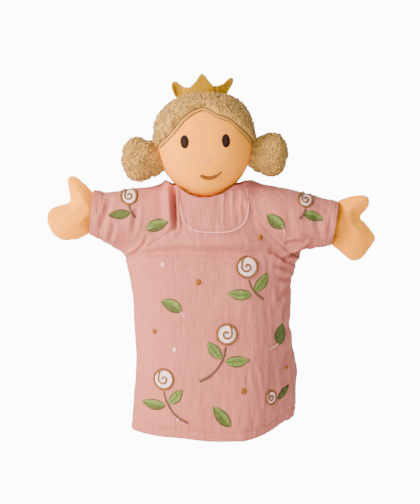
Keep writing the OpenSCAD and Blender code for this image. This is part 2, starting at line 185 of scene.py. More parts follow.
def apply_modifiers(obj):
    graph = bpy.context.evaluated_depsgraph_get()
    mesh = bpy.data.meshes.new_from_object(obj.evaluated_get(graph))
    old = obj.data
    obj.modifiers.clear()
    obj.data = mesh
    bpy.data.meshes.remove(old)
    obj.data.polygons.foreach_set("use_smooth", [True] * len(obj.data.polygons))
    return obj


def modify(obj, kind, **settings):
    m = obj.modifiers.new(kind.lower(), kind)
    for key, value in settings.items():
        setattr(m, key, value)
    return apply_modifiers(obj)


def grid_faces(rows, columns, closed_across=False):
    last = columns if closed_across else columns - 1
    return [(r * columns + c, r * columns + (c + 1) % columns, (r + 1) * columns + (c + 1) % columns,
             (r + 1) * columns + c) for r in range(rows - 1) for c in range(last)]


def thick_grid(rows, columns, outer, inner, closed_across=False):
    """Closed mesh between two grids of the same size."""
    count = rows * columns
    faces = grid_faces(rows, columns, closed_across)
    faces += [tuple(i + count for i in reversed(f)) for f in faces]
    last = columns if closed_across else columns - 1
    for r in (0, rows - 1):
        for c in range(last):
            a, b = r * columns + c, r * columns + (c + 1) % columns
            faces.append((a, b, b + count, a + count))
    if not closed_across:
        for c in (0, columns - 1):
            for r in range(rows - 1):
                a, b = r * columns + c, (r + 1) * columns + c
                faces.append((a, b, b + count, a + count))
    return np.vstack([outer, inner]), faces


def tube(path, radii, outward, sides=8, flat=1.0, closed=False):
    """Points and faces of a tube along a path, squeezed by flat in the outward direction."""
    path = np.asarray(path, float)
    count = len(path)
    radii = np.broadcast_to(np.asarray(radii, float), (count,))
    outward = np.broadcast_to(np.asarray(outward, float), (count, 3))
    before, after = np.roll(path, 1, 0), np.roll(path, -1, 0)
    if not closed:
        before[0], after[-1] = path[0], path[-1]
    along = after - before
    side = unit(np.cross(along, outward))
    out = unit(np.cross(side, along))
    angles = circle(sides)
    ring = np.cos(angles)[None, :, None] * side[:, None] + flat * np.sin(angles)[None, :, None] * out[:, None]
    points = (path[:, None] + radii[:, None, None] * ring).reshape(-1, 3)
    faces = grid_faces(count, sides, closed_across=True)
    last = (count - 1) * sides
    if closed:
        faces += [(last + k, last + (k + 1) % sides, (k + 1) % sides, k) for k in range(sides)]
    else:
        faces += [tuple(range(sides)), tuple(range(last, last + sides))]
    return points, faces


def joined(parts):
    """Several (points, faces) pairs as one."""
    points, faces, start = [], [], 0
    for p, f in parts:
        points.append(np.asarray(p, float))
        faces += [tuple(i + start for i in face) for face in f]
        start += len(p)
    return np.vstack(points), faces


# ------------------------------------------------------------------ materials


def linear(colour):
    """sRGB, 0 to 255, to linear."""
    c = np.asarray(colour, float) / 255
    return tuple(np.where(c <= 0.04045, c / 12.92, ((c + 0.055) / 1.055) ** 2.4))


def scaled(colour, factor):
    return tuple(min(255, c * factor) for c in colour)


class Shader:
    """Helper that builds one node material."""

    def __init__(self, name):
        self.material = bpy.data.materials.new(name)
        self.material.use_nodes = True
        self.tree = self.material.node_tree
        self.bsdf = self.tree.nodes["Principled BSDF"]
        self.coords = self.node("ShaderNodeTexCoord").outputs["Object"]

    def node(self, kind, **settings):
        n = self.tree.nodes.new(kind)
        for key, value in settings.items():
            setattr(n, key, value)
        return n

    def put(self, value, socket):
        if isinstance(value, bpy.types.NodeSocket):
            self.tree.links.new(value, socket)
        elif isinstance(value, tuple) and socket.type == "RGBA":
            socket.default_value = (*linear(value), 1)
        else:
            socket.default_value = value

    def stretched(self, scale):
        m = self.node("ShaderNodeMapping")
        self.put(self.coords, m.inputs["Vector"])
        m.inputs["Scale"].default_value = scale
        return m.outputs["Vector"]

    def noise(self, scale, detail=3.0, stretch=(1, 1, 1), rough=0.6):
        n = self.node("ShaderNodeTexNoise")
        n.inputs["Scale"].default_value = scale
        n.inputs["Detail"].default_value = detail
        n.inputs["Roughness"].default_value = rough
        self.put(self.stretched(stretch), n.inputs["Vector"])
        return n.outputs["Fac"]

    def wave(self, scale, direction, distortion):
        n = self.node("ShaderNodeTexWave", bands_direction=direction)
        n.inputs["Scale"].default_value = scale
        n.inputs["Distortion"].default_value = distortion
        self.put(self.coords, n.inputs["Vector"])
        return n.outputs["Fac"]

    def cells(self, scale):
        n = self.node("ShaderNodeTexVoronoi")
        n.inputs["Scale"].default_value = scale
        self.put(self.coords, n.inputs["Vector"])
        return n.outputs["Distance"]

    def ramp(self, value, low, low_colour, high, high_colour):
        r = self.node("ShaderNodeValToRGB")
        for element, at, colour in zip(r.color_ramp.elements, (low, high), (low_colour, high_colour)):
            element.position = at
            element.color = (*linear(colour), 1)
        self.put(value, r.inputs["Fac"])
        return r.outputs["Color"]

    def mix(self, factor, a, b, mode="MIX"):
        m = self.node("ShaderNodeMix", data_type="RGBA", blend_type=mode)
        for value, socket in ((factor, m.inputs[0]), (a, m.inputs[6]), (b, m.inputs[7])):
            self.put(value, socket)
        return m.outputs[2]

    def product(self, a, b):
        m = self.node("ShaderNodeMath", operation="MULTIPLY")
        self.put(a, m.inputs[0])
        self.put(b, m.inputs[1])
        return m.outputs[0]

    def bump(self, *layers):
        """Layers are (height, distance in metres) pairs, chained."""
        normal = None
        for height, distance in layers:
            b = self.node("ShaderNodeBump")
            b.inputs["Distance"].default_value = distance
            self.put(height, b.inputs["Height"])
            if normal is not None:
                self.put(normal, b.inputs["Normal"])
            normal = b.outputs["Normal"]
        self.put(normal, self.bsdf.inputs["Normal"])

    def finish(self, colour, roughness, sheen, sheen_rough=0.5, specular=0.2):
        self.put(colour, self.bsdf.inputs["Base Color"])
        self.bsdf.inputs["Roughness"].default_value = roughness
        self.bsdf.inputs["Sheen Weight"].default_value = sheen
        self.bsdf.inputs["Sheen Roughness"].default_value = sheen_rough
        self.bsdf.inputs["Specular IOR Level"].default_value = specular
        return self.material


DRESS_PINK = (190, 115, 107)
SKIN = (255, 162, 40)
HAIR = (184, 144, 72)
GOLD = (170, 128, 16)


def crinkled_cotton():
    """Fine vertical crinkles with painted shade, a little darker in their troughs and lighter on their
    ridges, and a plain weave, with the faint unevenness of washed cotton.
    """
    s = Shader("crinkled_cotton")
    crinkle = s.noise(420, 3, (1.0, 1.0, 0.2), 0.65)
    broad = s.noise(30, 3)
    # painted shade: the crinkle noise that sets the bump also darkens the crinkle troughs and lightens their
    # ridges
    fine = s.ramp(crinkle, 0.32, scaled(DRESS_PINK, 0.92), 0.66, scaled(DRESS_PINK, 1.04))
    wide = s.ramp(broad, 0.35, scaled(DRESS_PINK, 0.96), 0.65, scaled(DRESS_PINK, 1.03))
    weave = s.product(s.wave(420, "X", 1.5), s.wave(420, "Z", 1.5))
    s.bump((crinkle, 0.0005), (weave, 0.00012))
    return s.finish(s.mix(0.4, fine, wide), 0.9, 0.04, specular=0.08)


def jersey(name, base):
    """Smooth knit with very fine wales and a soft bloom."""
    s = Shader(name)
    colour = s.ramp(s.noise(35, 2), 0.3, scaled(base, 0.97), 0.7, scaled(base, 1.02))
    s.bump((s.wave(620, "X", 0.6), 0.00005), (s.noise(1500, 2), 0.00008))
    return s.finish(colour, 0.9, 0.0, specular=0.04)


def boucle():
    """Looped pile: painted shade, darker in the hollows between the loops and lighter on their tops, from the
    same noise as the bump.
    """
    s = Shader("boucle_pile")
    curls = s.noise(480, 5, rough=0.7)
    # painted shade: the curl noise that sets the bump also darkens the hollows between loops and lightens the
    # loop tops
    base = s.ramp(curls, 0.34, scaled(HAIR, 0.7), 0.62, scaled(HAIR, 1.1))
    patch = s.ramp(s.noise(130, 2), 0.35, scaled(HAIR, 0.86), 0.65, scaled(HAIR, 1.05))
    s.bump((s.cells(620), 0.0005), (curls, 0.0006))
    return s.finish(s.mix(0.5, base, patch), 0.95, 0.15, 0.6, 0.05)


def felt():
    s = Shader("gold_felt")
    fibres = s.noise(700, 5, rough=0.7)
    near = s.ramp(fibres, 0.3, scaled(GOLD, 0.84), 0.7, scaled(GOLD, 1.06))
    wide = s.ramp(s.noise(90, 2), 0.3, scaled(GOLD, 0.92), 0.7, scaled(GOLD, 1.03))
    s.bump((fibres, 0.0003))
    return s.finish(s.mix(0.5, near, wide), 0.95, 0.08, specular=0.05)


def floss(name, base, roughness=0.6, vary=0.12):
    """Embroidery thread: fine strands with a slight shine."""
    s = Shader(name)
    strands = s.noise(1300, 2, (1, 1, 0.45))
    colour = s.ramp(strands, 0.3, scaled(base, 1 - vary), 0.7, scaled(base, 1 + vary / 2))
    s.bump((strands, 0.00012))
    return s.finish(colour, roughness, 0.02, specular=0.08)


MATERIALS = {
    "dress": crinkled_cotton(),
    "skin": jersey("peach_jersey", SKIN),
    "hair": boucle(),
    "crown": felt(),
    "piping": floss("pale_piping", (236, 164, 174)),
    "rose": floss("rose_thread", (126, 84, 52)),
    "petal": floss("petal_thread", (252, 216, 228)),
    "leaf": floss("leaf_thread", (106, 126, 66), vary=0.3),
    "leaf_shade": floss("leaf_shade_thread", (80, 90, 48), vary=0.3),
    "leaf_edge": floss("leaf_edge_thread", (58, 70, 40)),
    "vein": floss("vein_thread", (84, 104, 54)),
    "stem": floss("stem_thread", (100, 78, 62)),
    "knot": floss("knot_thread", (140, 86, 34)),
    "bead": floss("bead_thread", (244, 190, 190)),
    "eye": floss("eye_thread", (54, 34, 30), 0.85),
    "eye_rim": floss("eye_rim_thread", (34, 24, 24), 0.85),
    "nose": floss("nose_thread", (246, 140, 92)),
    "mouth": floss("mouth_thread", (126, 74, 28)),
    "hairline": floss("hairline_thread", (128, 88, 42)),
    "binding": jersey("tan_binding", (196, 146, 74)),
    "stitch": floss("hem_thread", (186, 108, 94)),
    "card": floss("card", (200, 182, 150), 0.8),
}


def wear(obj, *names):
    obj.data.materials.clear()
    for name in names:
        obj.data.materials.append(MATERIALS[name])
    return obj


def worn(name, shape, *names):
    """A new piece from its points and faces, in its materials."""
    return wear(make_object(name, *shape), *names)


# ------------------------------------------------------------------ dress form

HEAD_LEAN = math.radians(3)
HEAD_YAW = math.radians(3)
HEAD_BOX = box_mm("head_stuffing")
HEAD_MIDDLE = np.array([place("head_turn")[0], 0, (HEAD_BOX[0][2] + HEAD_BOX[1][2]) / 2])
HEAD_HALF, HEAD_TALL, CHIN_DEEP = 37.0, 36.0, 41.5
CROWN_POWER, CHIN_POWER, FACE_POWER = 2.2, 1.85, 2.5
HEIGHTS = [-8, 0, 13, 27, 41, 56, 69, 87, 107, 125, 134, 142, 150, 160, 172, 184, 192, 202]
HALF_WIDTH = [61, 62, 63.2, 64, 63.2, 61.8, 61.2, 60.6, 60.8, 63.0, 66.3, 63, 54, 45, 39, 34, 31.5, 29]
HALF_DEPTH = [44, 44, 43.5, 42.5, 41, 39.5, 37.5, 35.5, 33.5, 32, 31, 30, 29, 28, 27, 25.5, 24.5, 22]
MIDDLE = [1.5, 1.5, 2, 3.5, 4.2, 3.5, 2.8, 0.8, 0.4, -0.4, 0.2, 0.3, 0, 0, -1.5, -3, -4, -4.5]
SQUARENESS = 2.2
ARM_JOIN = {-1: 15.0, 1: 13.0}
TOP = 206.0
# Sleeve sections: places along the arm from the shoulder, lift of the middle, half height and half depth.
ARM_AT = {-1: [-40, -28, -10, 0, 10, 17, 23, 33], 1: [-40, -28, -10, 0, 10, 17, 25, 38]}
ARM_LIFT = {-1: [-1, -0.5, -2.5, -4, -6, -6, -4.8, -2], 1: [-1, -1.5, -3, -4.7, -5.5, -4.2, -4, -2]}
ARM_HALF = {-1: [19, 21.5, 22.5, 23, 22.5, 20.3, 17.8, 16.5], 1: [18, 19.5, 21, 22.2, 22.5, 20.2, 19.4, 16.5]}
ARM_DEEP = {-1: [20, 22, 23, 22.5, 21, 19.5, 18, 16], 1: [20, 22, 23, 22.5, 21, 19.5, 18, 16]}


def smooth_min(a, b, k):
    h = np.clip(0.5 + 0.5 * (b - a) / k, 0, 1)
    return b * (1 - h) + a * h - k * h * (1 - h)


def body_form(p):
    width = profile(p[:, 2], HEIGHTS, HALF_WIDTH)
    depth = profile(p[:, 2], HEIGHTS, HALF_DEPTH)
    x = p[:, 0] - profile(p[:, 2], HEIGHTS, MIDDLE)
    power = SQUARENESS - 0.5 * smooth(20, 55, x) * smooth(110, 50, p[:, 2])
    ring = (np.abs(x / width) ** power + np.abs(p[:, 1] / depth) ** power) ** (1 / power)
    return -smooth_min(-(ring - 1) * np.minimum(width, depth), TOP - p[:, 2], 6.0)


def arm_section(side, s):
    """Lift of the sleeve's middle, half height and half depth at places along the arm."""
    return [profile(s, ARM_AT[side], table[side]) for table in (ARM_LIFT, ARM_HALF, ARM_DEEP)]


def arm_form(p, side):
    q = p - SHOULDER[side]
    s = q @ ARM_DIR[side]
    lift, half, deep = arm_section(side, s)
    t = q @ ARM_UP[side] - lift
    walls = (np.sqrt((t / half) ** 2 + (q[:, 1] / deep) ** 2) - 1) * np.minimum(half, deep)
    return -smooth_min(-walls, s + 40, 6.0)


def dress_form(p):
    """Below zero inside the dress, before its folds."""
    f = body_form(p)
    for side in (-1, 1):
        f = smooth_min(f, arm_form(p, side), ARM_JOIN[side])
    return f


def slope_of(form, p, step=0.05):
    return np.stack([(form(p + d) - form(p - d)) / (2 * step) for d in np.eye(3) * step], axis=1)


def onto_form(points, form, rounds=7):
    """Points moved onto the zero of a form along its slope."""
    p = np.array(points, float)
    for _ in range(rounds):
        slope = slope_of(form, p)
        size = np.maximum((slope ** 2).sum(1), 0.1)
        p -= (np.clip(form(p), -5, 5) / size)[:, None] * slope
    return p


def normal_at(form, p):
    return unit(slope_of(form, p, 0.3))


# ------------------------------------------------------------------ folds of the dress

# Soft creases seen from the front: x and z of both ends, half width, depth.
CREASES = [
    (-44, 145, 50, 143.5, 3.4, 3.2), (-34.5, 196, -33, 166, 2.6, -2.4), (-63, 139, -22, 147, 2.6, 1.4),
    (-60, 136, -28, 122, 3.5, 0.7), (-62, 126, -34, 108, 4.5, 0.6), (63, 138, 46, 145, 2.0, 1.8),
    (64, 129, 50, 134, 1.7, 1.8), (63, 122, 52, 124, 1.8, 1.7), (61, 117, 53, 108, 1.8, 1.8),
    (59, 106, 56, 92, 1.7, 1.8), (61, 88, 57, 74, 1.7, 1.6), (63, 70, 55, 52, 2.0, 1.6),
    (60, 46, 50, 24, 2.2, 1.5), (50, 60, 44, 30, 2.4, 0.5), (-29, 196, -27.5, 162, 1.7, 5.4),
    (-27.5, 164, -33, 157, 1.6, 1.0), (-50, 155, -52, 148, 1.4, 1.4), (-52, 149, -61, 141, 1.3, 1.6),
    (-19, 172, -16.5, 158, 1.3, 0.6), (-13, 160, -11, 150, 1.6, 0.4), (-78, 183, -85, 163, 2.2, 2.2),
    (-57, 178, -60, 160, 2.0, 1.8), (-75, 164, -79, 150, 1.8, 1.8), (-88, 186, -86, 170, 1.6, 0.7),
    (59, 178, 61, 158, 3.5, 0.8), (79, 151, 64, 141, 1.7, 3.4), (74, 147, 56, 137, 1.5, 2.8),
    (74, 153, 58, 151, 1.4, 2.4), (66, 133, 52, 140, 1.6, 2.2), (86, 150, 72, 157, 1.8, 1.7),
    (80, 172, 84, 158, 2.2, 0.8), (92, 170, 90, 154, 1.8, 0.8), (31, 178, 33, 165, 2.0, 0.6),
]
RAGLAN = {
    -1: [(-66, 138), (-50.5, 147), (-35, 157.5), (-28.5, 163.5), (-27.5, 178), (-30, 196)],
    1: [(64, 140), (59, 144.5), (46, 157), (35, 170.5), (29.4, 180.5), (24.5, 195.5)],
}
CLOTH = 0.7


def from_segment(p, x1, z1, x2, z2):
    """Distance seen from the front to a segment, and how far along it, 0 to 1."""
    a = np.array([x1, z1], float)
    along = np.array([x2, z2], float) - a
    q = p[:, [0, 2]] - a
    t = np.clip(q @ along / (along @ along), 0, 1)
    return np.linalg.norm(q - t[:, None] * along, axis=1), t


def seam_groove(p):
    near = np.full(len(p), 99.0)
    for side in (-1, 1):
        line = RAGLAN[side]
        for start, end in zip(line[:-1], line[1:]):
            near = np.minimum(near, from_segment(p, *start, *end)[0])
    return -0.45 * bell(near, 0, 0.8) + 0.3 * bell(near, 2.6, 1.8)


def folds(p):
    """How far the cloth stands out of its plain form at each point."""
    x, z = p[:, 0], p[:, 2]
    front = smooth(6, -6, p[:, 1])
    right = smooth(5, 60, x) * smooth(165, 140, z)
    low = smooth(90, 20, z)
    out = 0.9 * noise(p, (30, 30, 42), 3)
    crinkle = 0.16 + 0.42 * right + 0.16 * low + 0.1 * smooth(150, 170, z) * smooth(-20, 20, x)
    out += crinkle * noise(p, (3.1, 3.1, 16), 5)
    out += 0.6 * crinkle * noise(p, (1.9, 1.9, 7), 7)
    out += 1.1 * smooth(36, 62, x) * smooth(160, 135, z) * noise(p, (6, 6, 13), 9)
    out += 0.35 * noise(p, (9, 9, 12), 11)
    for x1, z1, x2, z2, width, depth in CREASES:
        d, t = from_segment(p, x1, z1, x2, z2)
        ends = 0.35 + 0.65 * np.sin(math.pi * np.clip(t, 0, 1)) ** 0.7
        out += front * depth * ends * (0.45 * bell(d, width * 1.9, width) - bell(d, 0, width))
    out += seam_groove(p)
    hem = hem_line(x)
    out += -0.5 * bell(z, hem + 7, 0.7) + 0.35 * smooth(hem + 7, hem + 3, z)
    return out


def hem_line(x):
    """Height of the hem: lowest in the middle, a little up at the left and well up at the right."""
    return 2.6 * smooth(4, -30, x) + 2 * smooth(-30, -60, x) + 15 * np.clip((x - 22) / 42, 0, 1) ** 1.7


def dressed(points):
    """Outer and inner side of the cloth for points of the plain form."""
    base = onto_form(points, dress_form)
    normal = normal_at(dress_form, base)
    outer = base + folds(base)[:, None] * normal
    return outer, outer - CLOTH * normal


# ------------------------------------------------------------------ dress pieces

PANEL_COLUMNS = 190
SKIRT_ROWS = 160
YOKE_ROWS = 74
NECK_COLUMNS = 44
SLEEVE_ROWS = 78


def along_line(line, count):
    """Points spread evenly along a line given in x and z."""
    line = np.array(line, float)
    steps = steps_along(line)
    at = np.linspace(0, steps[-1], count)
    return np.stack([profile(at, steps, line[:, 0], 2), profile(at, steps, line[:, 1], 2)], axis=1)


def chin_line(x):
    """Height of the head's lower outline, seen from the front."""
    share = np.clip(np.abs(x - HEAD_MIDDLE[0]) / HEAD_HALF, 0, 0.97)
    return HEAD_MIDDLE[2] - CHIN_DEEP * (1 - share ** CHIN_POWER) ** (1 / CHIN_POWER)


def neckline(x):
    """Height of the dress's edge, which follows the head's lower outline."""
    return chin_line(x) + 1.5


def panel_guide(face):
    """Rough rows of points for the front (-1) or the back (1) of the dress, hem to neckline."""
    across = np.linspace(-1, 1, PANEL_COLUMNS)
    rows = []
    armpit = {s: RAGLAN[s][0] for s in (-1, 1)}
    raglan = {s: along_line(RAGLAN[s], YOKE_ROWS) for s in (-1, 1)}
    for v in np.linspace(0, 1, SKIRT_ROWS, endpoint=False):
        top = np.interp(across, [-1, 1], [armpit[-1][1], armpit[1][1]])
        z = top * v
        turn = across * math.pi / 2
        x = profile(z, HEIGHTS, MIDDLE) + profile(z, HEIGHTS, HALF_WIDTH) * np.sin(turn)
        y = face * profile(z, HEIGHTS, HALF_DEPTH) * np.cos(turn) ** 0.9
        z = z + hem_line(x) * (1 - smooth(0, 70, z))
        rows.append(np.stack([x, y, z], axis=1))
    corner = (RAGLAN[-1][-1][1] + RAGLAN[1][-1][1]) / 2
    for k in range(YOKE_ROWS):
        v = k / (YOKE_ROWS - 1)
        (xl, zl), (xr, zr) = raglan[-1][k], raglan[1][k]
        bend = math.pi / 2 * (1 - 0.5 * v ** 0.5)
        x = (xl + xr) / 2 + (xr - xl) / 2 * np.sin(across * bend) / math.sin(bend)
        z = np.interp(across, [-1, 1], [zl, zr])
        z -= np.maximum(0, corner - neckline(x)) * smooth(0.4, 1, v) * (1 - across ** 6)
        share = np.clip(np.abs(x - profile(z, HEIGHTS, MIDDLE)) / profile(z, HEIGHTS, HALF_WIDTH), 0, 1)
        y = face * profile(z, HEIGHTS, HALF_DEPTH) * (1 - share ** 2.3) ** (1 / 2.3)
        edge = np.abs(across) > 0.9999
        y = np.where(edge & (k == 0), 0, y)
        rows.append(np.stack([x, y, z], axis=1))
    return np.vstack(rows)


def dress_panel(name, face):
    guide = panel_guide(face)
    outer, inner = dressed(guide)
    rows = SKIRT_ROWS + YOKE_ROWS
    obj = worn(name, thick_grid(rows, PANEL_COLUMNS, outer, inner), "dress")
    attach(obj, "torso")
    return obj, guide.reshape(rows, PANEL_COLUMNS, 3)


def sleeve_guide(side, front_guide, back_guide):
    """Rough rows of points from the raglan seam and the neckline out to the cuff."""
    column = 0 if side < 0 else PANEL_COLUMNS - 1
    front = onto_form(front_guide[SKIRT_ROWS:, column], dress_form)
    back = onto_form(back_guide[SKIRT_ROWS:, column], dress_form)
    turn = np.linspace(0, math.pi, NECK_COLUMNS + 2)[1:-1]
    middle = (front[-1] + back[-1]) / 2
    reach = (front[-1] - back[-1]) / 2
    neck = middle + np.cos(turn)[:, None] * reach + np.sin(turn)[:, None] * np.array([side * 8.0, 0, 5.0])
    loop = np.vstack([front, neck, back[::-1][:-1]])
    count = len(loop)
    top = (len(front) + NECK_COLUMNS / 2) / count
    share = np.interp(np.arange(count) / count, [0, top, 1], [0, 0.5, 1])
    angle = -math.pi / 2 - share * 2 * math.pi
    s = ARM_REACH[side] - 1
    lift, half, deep = arm_section(side, s)
    centre = SHOULDER[side] + ARM_DIR[side] * s + ARM_UP[side] * lift
    ring = (centre + np.sin(angle)[:, None] * ARM_UP[side] * half
            + np.cos(angle)[:, None] * np.array([0, 1.0, 0]) * deep)
    if np.dot(ring[count // 4] - centre, [0, -1, 0]) < 0:
        ring = centre + (ring - centre) * np.array([1, -1, 1])
    rows = [loop * (1 - t) + ring * t for t in np.linspace(0, 1, SLEEVE_ROWS)]
    return np.vstack(rows), count


def sleeve(side, front_guide, back_guide):
    guide, columns = sleeve_guide(side, front_guide, back_guide)
    outer, inner = dressed(guide)
    name = SIDE_NAME[side] + "_sleeve_cloth"
    return worn(name, thick_grid(SLEEVE_ROWS, columns, outer, inner, closed_across=True), "dress")


# ------------------------------------------------------------------ things sewn on the dress


class Cloth:
    """The finished surface of some cloth pieces, for laying embroidery on."""

    def __init__(self, *objects):
        parts = []
        for obj in objects:
            faces = [tuple(f.vertices) for f in obj.data.polygons]
            parts.append((points_of(obj), faces))
        points, faces = joined(parts)
        self.tree = BVHTree.FromPolygons([Vector(p) for p in points], faces)

    def lay(self, flat, lift, face=-1):
        """Points given across and up, put on the front (-1) or back (1) of the cloth and raised by lift."""
        flat = np.asarray(flat, float)
        hits = []
        for x, z in flat:
            found = self.tree.ray_cast(Vector((x, face * 300, z)), Vector((0, -face, 0)))[0]
            if found is None:
                found = self.tree.find_nearest(Vector((x, face * 6, z)))[0]
            hits.append(found)
        at = np.array(hits)
        out = normal_at(dress_form, at)
        return at + out * np.broadcast_to(np.asarray(lift, float), (len(at),))[:, None], out


def stitched_patch(cloth, rows, columns, flat, lift, under=0.35):
    """Closed raised patch of stitching over a grid of places on the cloth."""
    top, out = cloth.lay(flat, lift)
    bottom = top - out * (np.asarray(lift) + under)[:, None]
    return thick_grid(rows, columns, top, bottom)


def rope(cloth, flat, radius, flatness=0.7, closed=False, lift=0.25):
    at, out = cloth.lay(flat, lift)
    return tube(at, radius, out, sides=8, flat=flatness, closed=closed)


def rose_parts(cloth, x, z, rx, rz, curl):
    """Fill, outer ring and inner spiral. curl is the way that the spiral turns in from the top."""
    rings, spokes = 9, 56
    share = np.linspace(0.02, 1, rings)
    angle = circle(spokes)
    s, a = grid_of(share, angle)
    flat = oval(x, z, rx - 0.7, rz - 0.7, s, a)
    lift = 0.3 + 0.3 * (1 - s.ravel() ** 2) + 0.06 * np.cos(a.ravel() * 28)
    top, out = cloth.lay(flat, lift)
    bottom = top - out * (lift + 0.35)[:, None]
    fill = thick_grid(rings, spokes, top, bottom, closed_across=True)
    turn = circle(96)
    ring = rope(cloth, oval(x, z, rx - 0.65, rz - 0.65, 1.0, turn),
                0.98 + 0.05 * np.cos(turn * 48), closed=True, lift=0.4)
    t = np.linspace(0, 1, 70)
    around = math.radians(90 + 8 * curl) + curl * t * math.radians(430)
    size = 0.1 + 0.5 * (1 - t) ** 0.8 + 0.37 * (1 - smooth(0, 0.14, t))
    spiral = rope(cloth, oval(x, z, rx - 0.7, rz - 0.7, size, around), 0.8 + 0.04 * np.cos(t * 220), lift=0.7)
    return fill, joined([ring, spiral])


def leaf_grid(base, tip, half, bow):
    rows, columns = 30, 13
    s, t = grid_of(np.linspace(0, 1, rows), np.linspace(-1, 1, columns))
    base, tip = np.array(base, float), np.array(tip, float)
    along = tip - base
    length = np.linalg.norm(along)
    along /= length
    across = np.array([-along[1], along[0]])
    width = half * np.sin(math.pi * np.clip(s, 0, 1) ** 0.85) ** 0.8 + 0.12
    bend = bow * np.sin(math.pi * s)
    flat = (base + (s * length)[..., None] * along + (bend + t * width)[..., None] * across).reshape(-1, 2)
    ribs = 0.07 * np.cos(2 * math.pi * (s * length + np.abs(t) * 1.2) / 0.8)
    lift = 0.25 + 0.65 * (1 - t ** 2) ** 0.6 * np.sin(math.pi * s) ** 0.4 + ribs - 0.35 * bell(t, 0, 0.12)
    return rows, columns, flat, np.maximum(lift, 0.15).ravel(), across


def leaf_parts(cloth, base, tip, half, bow, dark):
    """Leaf mesh and its material numbers: light, shaded, edge and vein."""
    rows, columns, flat, lift, across = leaf_grid(base, tip, half, bow)
    points, faces = stitched_patch(cloth, rows, columns, flat, lift)
    shades = []
    lower = -1 if across[1] > 0 else 1
    for r in range(rows - 1):
        for c in range(columns - 1):
            t = (2 * (c + 0.5) / (columns - 1) - 1) * lower
            edge = abs(t) > 0.82
            vein = abs(t) < 0.13 and 0.1 < r / rows < 0.8
            half_dark = dark == 2 or (dark == 1 and t > 0)
            shades.append(2 if edge else 3 if vein else 1 if half_dark else 0)
    shades += [2] * (len(faces) - len(shades))
    return points, faces, shades


def stem_path(points, count=28):
    points = np.array(points, float)
    steps = steps_along(points)
    at = np.linspace(0, steps[-1], count)
    return np.stack([profile(at, steps, points[:, 0], 2.2), profile(at, steps, points[:, 1], 2.2)], axis=1)


# Flowers: x, z, half width, half height, way the spiral turns.
ROSES = {
    "chest": (27.5, 133.0, 8.5, 8.5, 1), "waist": (12.0, 81.9, 8.2, 8.2, -1),
    "lower": (-36.3, 46.9, 7.9, 8.2, 1), "side": (46.0, 32.4, 4.6, 5.8, 1),
    "left": (-63.3, 186.6, 6.6, 6.6, 1), "right": (72.8, 184.0, 6.1, 6.0, 1),
}
STEMS = {
    "chest": [(28.7, 124), (30.3, 117.7), (34.1, 112.6), (40.5, 107.2)],
    "waist": [(11.3, 73), (9.5, 63.9), (4.6, 55.6), (-1.6, 49.5), (-9.4, 45.9)],
    "lower": [(-36.5, 38.2), (-34.2, 29.7), (-29.1, 21.6), (-23.8, 17.2), (-17.1, 14.3)],
    "left": [(-63.3, 180.4), (-61.5, 174.8), (-58.5, 169.9)],
    "right": [(73, 177.4), (70.8, 172.4), (67.6, 169)],
}
# Leaves: base, tip, half width, bow, and 0 light, 1 light with a shaded half or 2 dark.
LEAVES = {
    "dress": [
        ((31.3, 111.8), (12.4, 113.1), 4.2, 0.6, 0), ((33.3, 114.2), (43.4, 128.2), 4.0, -0.8, 0),
        ((8.0, 63.4), (-2.7, 76.2), 4.2, 0.4, 0), ((10.9, 61.0), (29.5, 62.0), 4.2, -0.5, 0),
        ((-35.0, 26.6), (-53.4, 28.8), 4.0, 0.5, 1), ((-32.3, 28.6), (-21.8, 39.6), 3.8, -0.5, 0),
        ((51.6, 29.8), (60.2, 40.4), 2.2, 0, 2), ((-22.4, 99.3), (-38.5, 107), 4.8, -0.6, 1),
        ((52.6, 71.8), (55.0, 88.4), 4.2, 0.4, 2), ((14.8, 11.6), (1.5, 27.4), 4.6, 0.3, 1),
    ],
    "left_sleeve": [((-62.1, 174.2), (-79.3, 172.2), 3.6, 0.4, 2)],
    "left_yoke": [((-50.0, 161.4), (-32.6, 167.8), 4.6, 0.4, 1)],
    "right_sleeve": [((71.4, 173.4), (86.4, 168.6), 3.6, 0.4, 1)],
    "right_yoke": [((56.4, 162.6), (42.6, 173.4), 4.8, 0.4, 1)],
}
PALE_STEMS = {
    "dress": [[(-26.5, 101.2), (-22.5, 98.4), (-19.8, 93.6)], [(53.0, 76.5), (51.6, 72.5), (44.6, 69)]],
    "left_yoke": [[(-49.4, 161.6), (-43.8, 163.8)]],
    "right_yoke": [[(53.2, 164.8), (56.4, 161.8), (57.0, 156.4)]],
}
KNOTS = [(37.9, 155.2, 2.1), (-9.7, 121.5, 2.2), (-43.5, 83.1, 1.8), (24.9, 38.5, 2.3), (58.3, 53.8, 1.3)]
STEM_THICK, PALE_THICK = 0.98, 0.42
KNOT_TALL, BEAD_TALL = 1.15, 1.35
BEADS = [(-37.0, 134.7, 1.6), (-27.9, 69.9, 1.6), (-25.3, 16.4, 0.9)]


def add_leaves(name, cloth, specs):
    parts, shades = [], []
    for base, tip, half, bow, dark in specs:
        points, faces, shade = leaf_parts(cloth, base, tip, half, bow, dark)
        parts.append((points, faces))
        shades += shade
    obj = worn(name, joined(parts), "leaf", "leaf_shade", "leaf_edge", "vein")
    obj.data.polygons.foreach_set("material_index", shades)
    return obj


def add_rose(name, cloth):
    fill, lines = rose_parts(cloth, *ROSES[name])
    petal = worn(f"rose_{name}_fill", fill, "petal")
    outline = worn(f"rose_{name}_outline", lines, "rose")
    return petal, outline


def add_stems(name, cloth, paths, material, radius):
    ropes = []
    for path in paths:
        line = stem_path(path)
        taper = np.linspace(0.75, 1, len(line)) * radius
        ropes.append(rope(cloth, line, taper, lift=0.3))
    return worn(name, joined(ropes), material)


